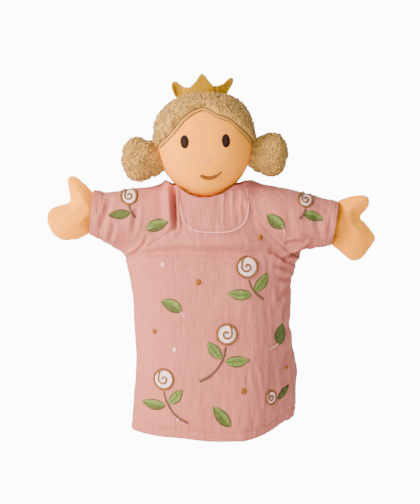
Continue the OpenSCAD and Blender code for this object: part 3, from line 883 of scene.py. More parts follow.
def add_dots(name, cloth, spots, material, tall):
    """Satin-stitched dots: little domes with a rib or two."""
    parts = []
    rings, spokes = 7, 18
    for x, z, r in spots:
        s, a = grid_of(np.linspace(0.03, 1, rings), circle(spokes))
        flat = oval(x, z, r, r * tall, s, a)
        dome = 0.95 * np.sqrt(np.maximum(0, 1 - s ** 2)) + 0.1 * np.cos(s * np.cos(a) * 9)
        lift = np.maximum(dome, 0.05).ravel()
        top, out = cloth.lay(flat, lift)
        parts.append(thick_grid(rings, spokes, top, top - out * (lift + 0.35)[:, None], closed_across=True))
    return worn(name, joined(parts), material)


BIB_MIDDLE, BIB_TOP, BIB_HALF, BIB_DEEP = 2.7, 184.0, 25.8, 24.4


def add_bib(cloth):
    """Rounded yoke with its gathers, mostly at its right, and the piping round it."""
    rows, columns = 60, 110
    share, u = grid_of(np.linspace(0, 1, rows), np.sin(np.linspace(-1, 1, columns) * math.pi / 2))
    x = BIB_MIDDLE + u * BIB_HALF
    foot = BIB_TOP - BIB_DEEP * np.cbrt(np.maximum(0, 1 - np.abs(u) ** 3))
    z = foot + share * (np.minimum(neckline(x), BIB_TOP + 8) - 0.8 - foot)
    flat = np.stack([x.ravel(), z.ravel()], axis=1)
    spot = np.stack([flat[:, 0], np.zeros(len(flat)), flat[:, 1]], axis=1)
    right = smooth(-2, 14, flat[:, 0]) * smooth(26, 18, flat[:, 0])
    above = smooth(BIB_TOP - BIB_DEEP, 172, flat[:, 1])
    gather = (0.15 + 0.95 * right) * noise(spot, (2.3, 9, 26), 21) * above
    lift = 0.75 + gather + 0.12 * noise(spot, (1.6, 9, 5), 23)
    top, out = cloth.lay(flat, np.maximum(lift, 0.35))
    bib = worn("bib_cloth", thick_grid(rows, columns, top, top - out * 0.6), "dress")
    turn = np.linspace(-1.56, 1.56, 160)
    across, down = np.cbrt(np.sin(turn)) ** 2 * np.sign(turn), np.cbrt(np.cos(turn)) ** 2
    path = np.stack([BIB_MIDDLE + (BIB_HALF + 0.2) * across, BIB_TOP - (BIB_DEEP + 0.2) * down], axis=1)
    piping = worn("bib_cord", rope(cloth, path, 0.48, 1.0, lift=0.6), "piping")
    inner = np.stack([BIB_MIDDLE + (BIB_HALF - 1.7) * across, BIB_TOP - (BIB_DEEP - 1.7) * down], axis=1)
    thread = dashes(cloth.lay(inner, 0.95), 1.5, 0.9, 0.16)
    return bib, piping, worn("bib_topstitch", thread, "stitch")


def dashes(laid, length, space, radius):
    """A row of separate stitches along points with their outward directions."""
    at, out = laid
    steps = steps_along(at)
    parts = []
    for start in np.arange(0.5, steps[-1] - length, length + space):
        where = np.linspace(start, start + length, 4)
        line = np.stack([np.interp(where, steps, at[:, k]) for k in range(3)], axis=1)
        facing = np.stack([np.interp(where, steps, out[:, k]) for k in range(3)], axis=1)
        line += facing * np.array([-0.12, 0.05, 0.05, -0.12])[:, None]
        parts.append(tube(line, radius, facing, sides=6))
    return joined(parts)


def hem_thread():
    """Stitches round the dress, a little above its hem."""
    turn = np.linspace(0, 2 * math.pi, 400)
    x = profile(np.full(400, 7.0), HEIGHTS, MIDDLE) + HALF_WIDTH[1] * np.sin(turn)
    base = np.stack([x, -HALF_DEPTH[1] * np.cos(turn), hem_line(x) + 7], axis=1)
    base = onto_form(base, dress_form)
    out = normal_at(dress_form, base)
    at = base + out * (folds(base) + 0.12)[:, None]
    return worn("hem_stitches", dashes((at, out), 2.0, 1.1, 0.17), "stitch")


def hem_turnup():
    """Turned-up cloth inside the hem."""
    columns, rows = 200, 8
    z, turn = grid_of(np.linspace(0.4, 7, rows), circle(columns))
    x = MIDDLE[1] + HALF_WIDTH[1] * np.sin(turn)
    guide = np.stack([x, -HALF_DEPTH[1] * np.cos(turn), z + hem_line(x)], axis=-1).reshape(-1, 3)
    base = onto_form(guide, dress_form)
    out = normal_at(dress_form, base)
    outer = base + out * (folds(base) - CLOTH - 0.15)[:, None]
    band = thick_grid(rows, columns, outer, outer - 0.6 * out, closed_across=True)
    return worn("hem_turnup", band, "dress")


def cuff(side):
    """Band round the end of a sleeve, and its two rows of stitches."""
    rows, columns = 16, 120
    reach = ARM_REACH[side] - 1
    s, turn = grid_of(np.linspace(reach - 6.8, reach + 0.5, rows), circle(columns))
    s, turn = s.ravel(), turn.ravel()
    lift, half, deep = arm_section(side, s)
    guide = SHOULDER[side] + s[:, None] * ARM_DIR[side]
    guide = guide + (lift + np.sin(turn) * half)[:, None] * ARM_UP[side]
    guide[:, 1] += np.cos(turn) * deep
    base = onto_form(guide, dress_form)
    out = normal_at(dress_form, base)
    share = (s - s.min()) / (s.max() - s.min())
    grooves = bell(share, 0.3, 0.06) + bell(share, 0.75, 0.06)
    bulge = 0.4 + 0.3 * np.sin(math.pi * share) - 0.25 * grooves
    outer = base + out * (folds(base) + bulge)[:, None]
    inner = base + out * (folds(base) - CLOTH - 0.5)[:, None]
    name = SIDE_NAME[side]
    band = worn(f"{name}_cuff_band", thick_grid(rows, columns, outer, inner, closed_across=True), "dress")
    threads = []
    for row in (4, 11):
        pick = slice(row * columns, (row + 1) * columns)
        threads.append(dashes((outer[pick] + out[pick] * 0.1, out[pick]), 1.5, 0.9, 0.16))
    stitches = worn(f"{name}_cuff_stitches", joined(threads), "stitch")
    return band, stitches


def neck_cloth():
    """Cloth that runs in from the neckline to the neck, under the head."""
    columns, rows = 96, 22
    turn = circle(columns)
    x = HEAD_MIDDLE[0] + 29.5 * np.sin(turn)
    in_front = smooth(-0.2, 0.5, np.cos(turn))
    outer_ring = np.stack([x, -22.5 * np.cos(turn), np.minimum(neckline(x), 196) - 0.8], axis=1)
    inner_ring = np.stack([-5 + 12.6 * np.sin(turn), -12.6 * np.cos(turn), 182.4 + 2.2 * in_front], axis=1)
    grid = []
    for t in np.linspace(0, 1, rows):
        ring = outer_ring * (1 - t) + inner_ring * t
        ring[:, 2] += (2.8 * in_front - 1.6) * math.sin(math.pi * t) + t * (1 - t) * np.cos(turn * 17)
        grid.append(ring)
    for drop in np.linspace(0, 20, 8)[1:]:
        ring = inner_ring.copy()
        ring[:, 2] -= drop
        grid.append(ring)
    outer = np.vstack(grid)
    count = len(grid)
    middle = np.array([-5, 0, 0])
    inner = outer.copy()
    inner[:, 2] -= 0.8
    shell = inner[rows * columns:]
    shell[:, :2] = middle[:2] + (shell[:, :2] - middle[:2]) * (1 - 0.8 / 12.6)
    return worn("neck_gather", thick_grid(count, columns, outer, inner, closed_across=True), "dress")


# ------------------------------------------------------------------ head

FINGER_HOLE = 10.45
HAIR_THICK = 2.6
# Hairline in the head's frame, across and up, from the left ear over the forehead to the right ear.
HAIRLINE = [(-37.3, -1.0), (-36.2, 1.6), (-30, 7.2), (-24.4, 12.8), (-18, 20.4), (-12.4, 24.8), (-6.5, 27.6),
            (-0.8, 29.0), (2.4, 27.6), (9, 23.0), (18.5, 19.2), (25.6, 12.6), (31.4, 6.6), (35.6, 1.4),
            (36.8, -1.0)]


def head_turned():
    """Rotation of the head's own frame: it leans to the left and the face turns a little to the right."""
    c, s = math.cos(-HEAD_LEAN), math.sin(-HEAD_LEAN)
    lean = np.array([[c, 0, s], [0, 1, 0], [-s, 0, c]])
    c, s = math.cos(HEAD_YAW), math.sin(HEAD_YAW)
    return np.array([[c, -s, 0], [s, c, 0], [0, 0, 1]]) @ lean


HEAD_TURNED = head_turned()


def from_head(p):
    return np.asarray(p, float) @ HEAD_TURNED.T + HEAD_MIDDLE


def head_radius(direction, extra):
    """Distance from the head's middle to its skin, plus extra, along directions in its frame."""
    d = unit(direction)
    up = d[:, 2] > 0
    tall = np.where(up, HEAD_TALL, CHIN_DEEP)
    power = np.where(up, CROWN_POWER, CHIN_POWER)
    outline = ((np.abs(d[:, 0]) / HEAD_HALF) ** power + (np.abs(d[:, 2]) / tall) ** power) ** (1 / power)
    flatness = np.where(d[:, 1] < 0, FACE_POWER, 2.0)
    return (outline ** flatness + (np.abs(d[:, 1]) / HEAD_HALF) ** flatness) ** (-1 / flatness) + extra


def head_normal(at):
    """Outward directions of the skin at points of it, in the head's frame."""
    step = 0.05
    slope = []
    for axis in np.eye(3) * step:
        ahead, behind = at + axis, at - axis
        slope.append(np.linalg.norm(ahead, axis=1) / head_radius(ahead, 0.0)
                     - np.linalg.norm(behind, axis=1) / head_radius(behind, 0.0))
    return unit(np.stack(slope, axis=1))


def head_front(flat, extra):
    """Points of the head's front seen at places across and up, raised by extra, with outward directions."""
    flat = np.asarray(flat, float)
    extra = np.broadcast_to(np.asarray(extra, float), (len(flat),))
    y = np.full(len(flat), -30.0)
    for _ in range(30):
        at = np.stack([flat[:, 0], y, flat[:, 1]], axis=1)
        y = y * (0.5 + 0.5 * head_radius(at, 0.0) / np.linalg.norm(at, axis=1))
        y = np.minimum(y, -1.0)
    at = np.stack([flat[:, 0], y, flat[:, 1]], axis=1)
    out = head_normal(at)
    return at + out * extra[:, None], out


def chin_folds(p):
    """Rolled seam under the chin, with small pleats at its right."""
    turn = np.arctan2(p[:, 0], -p[:, 1])
    line = -33.5 - 0.8 * np.cos(turn)
    groove = -0.55 * bell(p[:, 2], line, 0.8) + 0.35 * bell(p[:, 2], line - 2.6, 1.9)
    pleats = 0.32 * np.cos(turn * 34) * bell(turn, 0.75, 0.33) * bell(p[:, 2], line - 1.0, 3.2)
    return 0.6 * groove + pleats + 0.25 * noise(p, (15, 15, 15), 31) + 0.05 * noise(p, (4, 4, 4), 33)


def add_head():
    """Stuffed head: skin all over, with the finger hole going up into it."""
    columns = 180
    turn = circle(columns)
    side = np.stack([np.sin(turn), -np.cos(turn), np.zeros(columns)], axis=1)
    hole_top = box_mm("finger_tube")[1][2] + 0.2
    hole_low = HEAD_MIDDLE[2] - 38.5
    grid = []
    walls = [(FINGER_HOLE, z) for z in np.linspace(hole_top, hole_low, 14)]
    for size, z in [(0.05, hole_top), (5, hole_top)] + walls:
        grid.append(side * size + np.array([HEAD_MIDDLE[0], 0, z]))
    low = math.atan2(CHIN_DEEP - 1.2, FINGER_HOLE + 0.8)
    for angle in np.linspace(-low, math.pi / 2 - 0.004, 150):
        d = side * math.cos(angle) + np.array([0, 0, math.sin(angle)])
        ring = d * head_radius(d, 0.0)[:, None]
        grid.append(from_head(ring + d * chin_folds(ring)[:, None]))
    rows = len(grid)
    faces = grid_faces(rows, columns, closed_across=True)
    faces += [tuple(range(columns)), tuple(range((rows - 1) * columns, rows * columns))]
    return wear(make_object("head_skin", np.vstack(grid), faces), "skin")


def hair_pile(p):
    """Uneven height of the looped pile."""
    return (0.55 * noise(p, 2.4, 41) + 0.4 * noise(p, 1.4, 43) + 0.8 * noise(p, 9, 45))


def hairline_reach(around):
    """How far from straight back the hair comes, for each turn about the head's front-to-back line."""
    at, _ = head_front(np.array(HAIRLINE), 0.0)
    turn = np.arctan2(at[:, 2], at[:, 0])
    turn = np.where(turn < -math.pi / 2, turn + 2 * math.pi, turn)
    reach = np.arccos(at[:, 1] / np.linalg.norm(at, axis=1))
    side = math.pi / 2 + 0.06
    reach[0] = reach[-1] = side
    order = np.argsort(turn)
    turn, reach = turn[order], reach[order]
    wrapped = (around + math.pi / 2) % (2 * math.pi) - math.pi / 2
    nape = side - 0.6 * smooth(0.0, 0.45, -np.sin(wrapped))
    return np.where((wrapped > turn[0]) & (wrapped < turn[-1]), np.interp(wrapped, turn, reach), nape)


CURL, CURL_THICK = 1.1, 0.52
HAIR_LOOPS, HAIR_SEED = 2600, 81
BUN_LOOPS, BUN_SEED = 760, 83
NAPE_CLEAR = -0.6


def curls(at, out, weight, count, seed):
    """Small loops of pile standing on a skin, more of them where weight is high."""
    draw = np.random.default_rng(seed)
    pick = draw.choice(len(at), count, replace=False, p=weight / weight.sum())
    at, out = at[pick], out[pick]
    level = unit(np.cross(out, np.array([0.31, 0.52, 0.79])))
    spin = draw.uniform(0, 2 * math.pi, count)[:, None]
    along = level * np.cos(spin) + np.cross(out, level) * np.sin(spin)
    up = unit(out + draw.uniform(-1.3, 1.3, (count, 1)) * np.cross(out, along))
    size = CURL * draw.uniform(0.65, 1.3, count)[:, None, None]
    stations, sides = 8, 5
    bend = np.linspace(-0.5, math.pi + 0.5, stations)[None, :, None]
    radial = np.cos(bend) * along[:, None] + np.sin(bend) * up[:, None]
    centre = at[:, None] + size * (radial - 0.3 * up[:, None])
    wide = np.cross(along, up)[:, None, None]
    ring = circle(sides)[None, None, :, None]
    points = centre[:, :, None] + CURL_THICK * (np.cos(ring) * radial[:, :, None] + np.sin(ring) * wide)
    each = stations * sides
    pattern = grid_faces(stations, sides, closed_across=True)
    pattern += [tuple(range(sides)), tuple(range(each - sides, each))]
    faces = [tuple(v + k * each for v in face) for k in range(count) for face in pattern]
    return points.reshape(-1, 3), faces


def add_hair():
    """Cap of looped pile, from the hairline over the top to the nape."""
    rows, columns = 100, 180
    around = circle(columns)
    reach = hairline_reach(around)
    share, turn = grid_of(np.linspace(0.004, 1, rows), around)
    back = share * reach[None, :]
    d = np.stack([np.sin(back) * np.cos(turn), np.cos(back), np.sin(back) * np.sin(turn)], axis=-1)
    d = d.reshape(-1, 3)
    skin = head_radius(d, 0.0)
    edge = smooth(0, 0.035, 1 - share.ravel())
    full = HAIR_THICK + 2.2 * smooth(0.1, 0.75, d[:, 2])
    thick = 0.9 + (full - 0.9 + hair_pile(d * skin[:, None])) * edge
    outer = from_head(d * (skin + thick)[:, None])
    inner = from_head(d * (skin + 0.1)[:, None])
    cap = thick_grid(rows, columns, outer, inner, closed_across=True)
    away_from_edge = (share.ravel() < 0.985) * (d[:, 2] > NAPE_CLEAR)
    loops = curls(outer, d @ HEAD_TURNED.T, np.sin(back.ravel()) * away_from_edge, HAIR_LOOPS, HAIR_SEED)
    cloth = worn("hair_pile_cap", cap, "hair")
    return cloth, worn("hair_pile_loops", loops, "hair")


def add_hairline():
    """Binding along the hairline: a flat band between two lines of thread."""
    line = np.array(HAIRLINE[1:-1])
    steps = steps_along(line)
    at = np.linspace(0, steps[-1], 160)
    path = np.stack([np.interp(at, steps, line[:, 0]), np.interp(at, steps, line[:, 1])], axis=1)
    along = unit(np.gradient(path, axis=0))
    into_face = np.stack([along[:, 1], -along[:, 0]], axis=1)
    ropes = {}
    for name, inset, radius, flat, lift in (("band", 1.0, 1.15, 0.5, 0.35), ("upper", -0.05, 0.33, 1, 0.9),
                                             ("lower", 2.05, 0.33, 1, 0.35)):
        place_at, out = head_front(path + into_face * inset, lift)
        ropes[name] = tube(from_head(place_at), radius, out @ HEAD_TURNED.T, sides=8, flat=flat)
    band = worn("hairline_band", ropes["band"], "binding")
    lines = worn("hairline_stitches", joined([ropes["upper"], ropes["lower"]]), "hairline")
    return band, lines


BUN_FROM = {-1: (-32.5, -4.0, -8.6), 1: (33.5, -5.0, -9.0)}
BUN_TO = {-1: (-64.4, -4.0, -8.4), 1: (63.4, -6.0, -11.6)}
BUN_AT = [0, 0.12, 0.3, 0.48, 0.64, 0.78, 0.88, 0.95, 0.985, 1]
BUN_SIZE = [9.6, 10.8, 13.6, 15.8, 16.6, 15.2, 12.2, 8.2, 4.6, 0.2]


def add_bun(side):
    """Gathered bun, narrow where it is sewn to the head."""
    rows, columns = 70, 100
    start, end = np.array(BUN_FROM[side], float), np.array(BUN_TO[side], float)
    along = unit(end - start)
    up = unit(np.array([0, 0, 1.0]) - along[2] * along)
    across = np.cross(along, up)
    t, turn = grid_of(1 - (1 - np.linspace(0, 1, rows)) ** 1.25, circle(columns))
    size = profile(t.ravel(), BUN_AT, BUN_SIZE, 0.03).reshape(t.shape)
    gathers = 1 + 0.05 * (1 - t) ** 2 * np.cos(turn * 11 + 2 * np.sin(turn * 2)) * smooth(1, 0.4, t)
    round_it = np.cos(turn)[..., None] * up + 0.94 * np.sin(turn)[..., None] * across
    ring = (size * gathers)[..., None] * round_it
    p = (start + t[..., None] * (end - start) + ring).reshape(-1, 3)
    middle = start + 0.6 * (end - start)
    out = unit(p - middle)
    lumps = 0.7 * noise(p, 7.5, 51 + side)
    p = p + out * ((hair_pile(p) * 0.8 + lumps) * smooth(0, 0.15, t.ravel()))[:, None]
    faces = grid_faces(rows, columns, closed_across=True)
    faces += [tuple(range(columns)), tuple(range((rows - 1) * columns, rows * columns))]
    weight = size.ravel() * (t.ravel() > 0.1)
    loops = curls(from_head(p), out @ HEAD_TURNED.T, weight, BUN_LOOPS, BUN_SEED + side)
    return worn(f"{SIDE_NAME[side]}_bun", joined([(from_head(p), faces), loops]), "hair")


# Crown strip, left to right in the head's frame: place along the strip, across, up.
CROWN_FEET = [(0, -19.4, 36.0), (0.1, -17.6, 37.2), (0.22, -14, 38.4), (0.36, -7, 39.4), (0.5, 0, 39.8),
              (0.64, 7, 39.4), (0.78, 12.6, 38.2), (0.9, 16, 37.4), (1, 17.8, 36.8)]
CROWN_TOPS = [(0, -21.6, 42.0), (0.035, -23.2, 45.6), (0.065, -23.2, 48.6), (0.095, -21.6, 50.3),
              (0.125, -19.2, 49.9), (0.16, -16.9, 47.8), (0.22, -14.0, 45.4), (0.32, -9.4, 45.0),
              (0.41, -5.0, 49.2), (0.475, -1.6, 54.0), (0.5, 0.2, 55.4), (0.53, 2.2, 54.0),
              (0.6, 5.6, 48.8), (0.67, 8.6, 45.2), (0.75, 12.4, 45.0), (0.83, 17.0, 46.6),
              (0.885, 20.4, 49.6), (0.925, 22.6, 51.0), (0.955, 24.4, 50.6), (0.985, 24.8, 48.2),
              (1, 22.8, 44.6)]


def add_crown():
    """Felt strip with three points; its left point folds forward and its right one curls up and out."""
    columns, rows = 150, 18
    felt_thick = 2.0
    u = np.linspace(0, 1, columns)
    feet, tops = np.array(CROWN_FEET), np.array(CROWN_TOPS)
    foot = np.stack([profile(u, feet[:, 0], feet[:, k], 0.03) for k in (1, 2)], axis=1)
    top = np.stack([profile(u, tops[:, 0], tops[:, k], 0.008) for k in (1, 2)], axis=1)
    depth = -10.5 + 8.0 * (np.abs(foot[:, 0]) / 19) ** 2
    left, right = smooth(0.2, 0, u), smooth(0.68, 1, u)
    lean = -1.5 - 4.5 * left + 2.0 * right
    v = np.linspace(0, 1, rows)[:, None]
    x = foot[:, 0] * (1 - v) + top[:, 0] * v
    z = foot[:, 1] * (1 - v) + top[:, 1] * v
    crease = 1.0 * bell(u, 0.19, 0.03) + 1.4 * bell(u, 0.7, 0.025)
    y = depth + lean * v ** 1.4 + crease * (1 - 0.4 * v)
    middle = np.stack([x, y * np.ones_like(x), z], axis=-1)
    across = np.gradient(middle, axis=1)
    up = np.gradient(middle, axis=0)
    out = unit(np.cross(across, up))
    rim = np.minimum(1, np.minimum((1 - v) * rows / 2.0 + 0.45, np.minimum(u, 1 - u) * columns / 2.5 + 0.45))
    half = felt_thick / 2 * rim + 0.06 * noise(middle.reshape(-1, 3), 1.6, 61).reshape(x.shape)
    front = (middle + out * half[..., None]).reshape(-1, 3)
    behind = (middle - out * half[..., None]).reshape(-1, 3)
    return worn("crown_felt", thick_grid(rows, columns, from_head(front), from_head(behind)), "crown")


def face_patch(name, material, middle, half, tall, lean=0.0, rise=0.7, rib=0.5):
    """Oval of satin stitch on the face."""
    rings, spokes = 11, 48
    s, a = grid_of(np.linspace(0.03, 1, rings), circle(spokes))
    x, z = half * s * np.cos(a), tall * s * np.sin(a)
    c, k = math.cos(lean), math.sin(lean)
    flat = np.stack([middle[0] + (x * c - z * k).ravel(), middle[1] + (x * k + z * c).ravel()], axis=1)
    lift = rise * np.sqrt(np.maximum(0, 1 - s ** 2)) ** 0.8 + 0.06 * np.cos(z / rib * math.pi * 2) + 0.12
    top, out = head_front(flat, np.maximum(lift, 0.08).ravel())
    low = top - out * (np.maximum(lift, 0.08).ravel() + 0.4)[:, None]
    grid = thick_grid(rings, spokes, from_head(top), from_head(low), closed_across=True)
    return worn(name, grid, material)


def add_mouth():
    """Smile in one line of stitches that thins towards its right end."""
    points = [(-6.8, -21.6), (-3.6, -23.9), (0.6, -24.9), (4.6, -24.2), (8.0, -22.2), (10.8, -19.7)]
    line = stem_path(points, 60)
    share = np.linspace(0, 1, 60)
    width = 0.5 + 1.1 * smooth(0, 0.12, share) * smooth(1.08, 0.45, share) + 0.015 * np.cos(share * 160)
    at, out = head_front(line, 0.2)
    return worn("mouth_stitches", tube(from_head(at), width, out @ HEAD_TURNED.T, 8, 0.8), "mouth")


def add_finger_tube():
    low, high = box_mm("finger_tube")
    outer = (high[0] - low[0]) / 2 - 0.05
    wall = 1.25
    turn = circle(64)
    side = np.stack([np.cos(turn), np.sin(turn), np.zeros(64)], axis=1)
    heights = np.linspace(low[2], high[2], 12)
    middle = np.array([HEAD_MIDDLE[0], 0, 0])
    rings = [np.vstack([side * size + middle + np.array([0, 0, z]) for z in heights])
             for size in (outer, outer - wall)]
    return worn("finger_card", thick_grid(12, 64, *rings, closed_across=True), "card")


# ------------------------------------------------------------------ mittens

# Outline of each mitten from the front (x, z), from the cuff round the thumb and back to the cuff.
MITTS = {
    -1: [(-92.5, 190.2), (-98, 195.9), (-103.8, 200.8), (-107.4, 201.9), (-110.4, 200.4), (-110.8, 197),
         (-110.4, 190.4), (-109.9, 184.4), (-111.4, 181.2), (-116.9, 179.4), (-123.8, 176.2), (-127.2, 171.1),
         (-126.9, 164.0), (-124.0, 158.0), (-119.5, 153.6), (-114.4, 151.6), (-105.1, 152.4), (-99.8, 154.4),
         (-94.5, 157.4)],
    1: [(98.5, 181.8), (106.9, 185.2), (116.0, 187.0), (121.0, 186.2), (123.2, 181.8), (121.6, 176.4),
        (118.0, 171.8), (116.8, 168.4), (121.4, 163.6), (127.6, 154.4), (126.4, 149.2), (118.3, 138.4),
        (110.4, 135.4), (104.9, 138.7), (98.4, 144.0), (93.7, 148.3)],
}


def mitt_outline(side):
    """Outline with the part inside the cuff added."""
    inside = [WRIST[side] - ARM_DIR[side] * back + ARM_UP[side] * up
              for back, up in ((3, -11.5), (9, -9.5), (9, 9.5), (3, 11.5))]
    return closed_curve(MITTS[side] + [(p[0], p[2]) for p in inside])


MITT_HALF = 8.6
MITT_FLAT_HALF = 2.0
MITT_VOXEL = 1.1
PRESSURE, SIM_FRAMES, MOVE_CAP = 4.0, 20, 7.5
SIM_SCALE = 20.0
OUTLINE_GIVE = 0.12


def closed_curve(points, per_side=5):
    """Smooth closed line through points."""
    p = np.array(points, float)
    line = []
    for k in range(len(p)):
        a, b, c, d = (p[(k + i) % len(p)] for i in (-1, 0, 1, 2))
        for t in np.arange(per_side) / per_side:
            line.append(0.5 * (2 * b + (c - a) * t + (2 * a - 5 * b + 4 * c - d) * t ** 2
                               + (3 * b - a - 3 * c + d) * t ** 3))
    return np.array(line)


def slab(name, outline, half):
    """Flat pillow: the outline cut out twice and joined round its edge."""
    bm = bmesh.new()
    sides = []
    for y in (-half, half):
        ring = [bm.verts.new((x * MM, y * MM, z * MM)) for x, z in outline]
        sides.append(ring)
        bm.faces.new(ring)
    for k in range(len(outline)):
        n = (k + 1) % len(outline)
        bm.faces.new((sides[0][k], sides[0][n], sides[1][n], sides[1][k]))
    bmesh.ops.triangulate(bm, faces=bm.faces[:])
    bmesh.ops.recalc_face_normals(bm, faces=bm.faces)
    mesh = bpy.data.meshes.new(name)
    bm.to_mesh(mesh)
    bm.free()
    obj = bpy.data.objects.new(name, mesh)
    bpy.context.scene.collection.objects.link(obj)
    return obj


def puff(obj, pressure, frames, cap):
    """Inflates a closed pillow with a cloth simulation, without gravity, moving no point further than cap."""
    start = points_of(obj)
    set_points(obj, start * SIM_SCALE)
    m = obj.modifiers.new("cloth", "CLOTH")
    m.settings.use_pressure = True
    m.settings.uniform_pressure_force = pressure
    m.settings.quality = 6
    m.settings.mass = 0.3
    m.settings.tension_stiffness = 25
    m.settings.compression_stiffness = 25
    m.settings.bending_stiffness = 0.8
    m.settings.effector_weights.gravity = 0
    m.point_cache.frame_start, m.point_cache.frame_end = 1, frames
    scene = bpy.context.scene
    scene.frame_start, scene.frame_end = 1, frames
    for f in range(1, frames + 1):
        scene.frame_set(f)
    apply_modifiers(obj)
    scene.frame_set(1)
    moved = (points_of(obj) / SIM_SCALE - start) * np.array([OUTLINE_GIVE, 1, OUTLINE_GIVE])
    far = np.linalg.norm(moved, axis=1)
    set_points(obj, start + moved * np.minimum(1, cap / np.maximum(far, 1e-6))[:, None])


def fit_outline(obj, outline, half):
    """Stretches a puffed pillow back over its cut outline and to its thickness."""
    p = points_of(obj)
    for axis, wanted in ((0, outline[:, 0]), (2, outline[:, 1])):
        low, high = p[:, axis].min(), p[:, axis].max()
        p[:, axis] = wanted.min() + (p[:, axis] - low) / (high - low) * (wanted.max() - wanted.min())
    p[:, 1] *= half / np.abs(p[:, 1]).max()
    set_points(obj, p)


def add_mitt(side):
    outline = mitt_outline(side)
    obj = slab(f"{SIDE_NAME[side]}_mitt", outline, MITT_FLAT_HALF)
    modify(obj, "REMESH", mode="VOXEL", voxel_size=MITT_VOXEL * MM, use_smooth_shade=True)
    puff(obj, PRESSURE, SIM_FRAMES, MOVE_CAP)
    fit_outline(obj, outline, MITT_HALF)
    modify(obj, "SMOOTH", factor=0.5, iterations=3)
    modify(obj, "SUBSURF", levels=1, render_levels=1)
    p, out = points_of(obj), normals_of(obj)
    seam = -0.45 * bell(p[:, 1], 0, 0.55) + 0.2 * bell(np.abs(p[:, 1]), 1.6, 0.9)
    set_points(obj, p + out * (seam + 0.35 * noise(p, 9, 71) + 0.08 * noise(p, 2.5, 73))[:, None])
    return wear(obj, "skin")


# ------------------------------------------------------------------ camera, light and floor

CAMERA_BACK = 1800.0
CAMERA_UP = math.radians(4)
CAMERA_AIM = Vector((-0.8, 0, 142.5)) * MM
PICTURE_HIGH = 392.6
SENSOR = 36.0
STUDIO_WHITE = 12.0
FLOOR_HALF, FLOOR_AT = 3000.0, -0.2
SKY = 0.68
KEY = 97.0
LOW_FILL = 29.0
BACK_LIGHT = 45.0
WARM = (1.0, 0.81, 0.63)
COOL = (0.84, 0.97, 1.0)


def make_camera():
    data = bpy.data.cameras.new("camera")
    data.sensor_width = SENSOR
    data.lens = SENSOR * CAMERA_BACK / PICTURE_HIGH
    cam = bpy.data.objects.new("camera", data)
    bpy.context.scene.collection.objects.link(cam)
    back = Vector((0, -math.cos(CAMERA_UP), math.sin(CAMERA_UP)))
    cam.location = CAMERA_AIM + back * CAMERA_BACK * MM
    cam.rotation_euler = (-back).to_track_quat("-Z", "Y").to_euler()
    bpy.context.scene.camera = cam


def area_light(name, at, power, size, aim=(0, 0, 0.15), colour=(1, 1, 1)):
    data = bpy.data.lights.new(name, "AREA")
    data.energy, data.size, data.color = power, size, colour
    lamp = bpy.data.objects.new(name, data)
    bpy.context.scene.collection.objects.link(lamp)
    lamp.location = at
    lamp.rotation_euler = (Vector(aim) - Vector(at)).to_track_quat("-Z", "Y").to_euler()


def white_to_camera(tree, shaded, bright):
    """Joins a shader with plain white that only the camera sees, as in a bright studio cove."""
    path = tree.nodes.new("ShaderNodeLightPath")
    white = tree.nodes.new("ShaderNodeEmission")
    white.inputs["Strength"].default_value = bright
    mix = tree.nodes.new("ShaderNodeMixShader")
    tree.links.new(path.outputs["Is Camera Ray"], mix.inputs["Fac"])
    tree.links.new(shaded, mix.inputs[1])
    tree.links.new(white.outputs["Emission"], mix.inputs[2])
    return mix.outputs["Shader"]


def make_studio():
    corners = [(x * FLOOR_HALF, y * FLOOR_HALF, FLOOR_AT) for x, y in ((-1, -1), (1, -1), (1, 1), (-1, 1))]
    floor = make_object("floor", corners, [(0, 1, 2, 3)])
    s = Shader("pale_floor")
    floor.data.materials.append(s.finish((250, 250, 250), 0.9, 0.0))
    output = s.tree.nodes["Material Output"]
    s.tree.links.new(white_to_camera(s.tree, s.bsdf.outputs["BSDF"], STUDIO_WHITE), output.inputs["Surface"])
    world = bpy.data.worlds.new("studio")
    bpy.context.scene.world = world
    world.use_nodes = True
    tree = world.node_tree
    sky = tree.nodes["Background"]
    sky.inputs["Color"].default_value = (*COOL, 1)
    sky.inputs["Strength"].default_value = SKY
    tree.links.new(white_to_camera(tree, sky.outputs["Background"], STUDIO_WHITE),
                   tree.nodes["World Output"].inputs["Surface"])
    area_light("key", (-1.38, -0.9, 0.95), KEY, 0.9, colour=WARM)
    area_light("low_fill", (-0.6, -1.7, 0.08), LOW_FILL, 0.8, colour=WARM)
    area_light("back_light", (0.3, 1.9, 0.7), BACK_LIGHT, 1.2, colour=WARM)


# ------------------------------------------------------------------ putting it together


def stand_for(piece, *nodes):
    """Has a piece stand for its CAD nodes."""
    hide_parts(*nodes)
    return piece


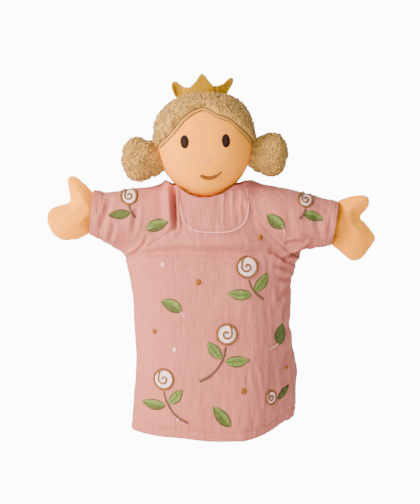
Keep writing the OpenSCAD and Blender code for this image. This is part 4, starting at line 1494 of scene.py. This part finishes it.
def build_dress():
    front, front_guide = dress_panel("dress_front_cloth", -1)
    back, back_guide = dress_panel("dress_back_cloth", 1)
    sleeves = {side: sleeve(side, front_guide, back_guide) for side in (-1, 1)}
    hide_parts("dress_front")
    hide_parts("dress_back")
    over = Cloth(front, *sleeves.values())
    hem = stand_for(hem_turnup(), "hem_band")
    bib, piping, topstitch = add_bib(over)
    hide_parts("bib")
    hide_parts("bib_piping")
    leaves = stand_for(add_leaves("leaves_on_dress", over, LEAVES["dress"]), "dress_leaves")
    paths = [STEMS[name] for name in ("chest", "waist", "lower")]
    stems = stand_for(add_stems("stems_on_dress", over, paths, "stem", STEM_THICK), "dress_stems")
    pale = add_stems("pale_stems_on_dress", over, PALE_STEMS["dress"], "bead", PALE_THICK)
    knots = stand_for(add_dots("knots_on_dress", over, KNOTS, "knot", KNOT_TALL), "dress_knots")
    beads = stand_for(add_dots("beads_on_dress", over, BEADS, "bead", BEAD_TALL), "dress_beads")
    neck = stand_for(neck_cloth(), "neck_collar")
    sewn_on = [hem, hem_thread(), leaves, stems, pale, knots, beads]
    for name in ("chest", "waist", "lower", "side"):
        petal, outline = add_rose(name, over)
        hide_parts("rose_" + name)
        sewn_on += [petal, outline]
    for piece in (bib, piping, topstitch, neck, *sewn_on):
        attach(piece, "torso")
    for side in (-1, 1):
        build_sleeve(side, sleeves[side], over)


def build_sleeve(side, cloth, over):
    name = SIDE_NAME[side]
    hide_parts(name + "_sleeve")
    petal, outline = add_rose(name, over)
    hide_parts(name + "_sleeve_rose")
    leaf = add_leaves(name + "_sleeve_leaf", over, LEAVES[name + "_sleeve"])
    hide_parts(name + "_sleeve_leaves")
    yoke = add_leaves(name + "_yoke_leaf", over, LEAVES[name + "_yoke"])
    stem = add_stems(name + "_sleeve_stem", over, [STEMS[name]], "stem", STEM_THICK)
    pale = add_stems(name + "_yoke_stem", over, PALE_STEMS[name + "_yoke"], "bead", PALE_THICK)
    sewn_on = [petal, outline, leaf, yoke, stem, pale]
    for piece in (cloth, *sewn_on):
        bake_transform(piece)
    band, stitches = cuff(side)
    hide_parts(name + "_cuff")
    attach(band, name + "_arm")
    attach(stitches, name + "_arm")


EYES = ((-1, (-16.8, 3.9)), (1, (14.6, 3.0)))
NOSE = (0, -11.2)


def build_head():
    skin = stand_for(add_head(), "face_cover", "head_stuffing")
    hair, loops = add_hair()
    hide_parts("hair_cap")
    band, lines = add_hairline()
    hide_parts("hairline_binding")
    crown = stand_for(add_crown(), "crown")
    pieces = [skin, hair, loops, band, lines, crown]
    for side, at in EYES:
        rim = face_patch(f"{SIDE_NAME[side]}_eye_rim", "eye_rim", at, 3.2, 5.1, rise=0.6)
        fill = face_patch(f"{SIDE_NAME[side]}_eye_fill", "eye", (at[0], at[1] - 0.3), 1.5, 3.0, rise=0.85)
        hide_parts(f"{SIDE_NAME[side]}_eye")
        pieces += [rim, fill]
    nose = stand_for(face_patch("nose_stitches", "nose", NOSE, 3.1, 1.5, rise=0.45), "nose")
    mouth = stand_for(add_mouth(), "mouth")
    tube_card = stand_for(add_finger_tube(), "finger_tube")
    pieces += [nose, mouth, tube_card]
    for side in (-1, 1):
        bun = add_bun(side)
        name = SIDE_NAME[side]
        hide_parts(name + "_bun_cover", name + "_bun_stuffing")
        pieces.append(bun)
    for piece in pieces:
        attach(piece, "head")


def build_hands():
    for side in (-1, 1):
        name = SIDE_NAME[side]
        mitt = add_mitt(side)
        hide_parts(name + "_hand_front", name + "_hand_back", name + "_hand_stuffing")
        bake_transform(mitt)


build_dress()
build_head()
build_hands()
make_camera()
make_studio()
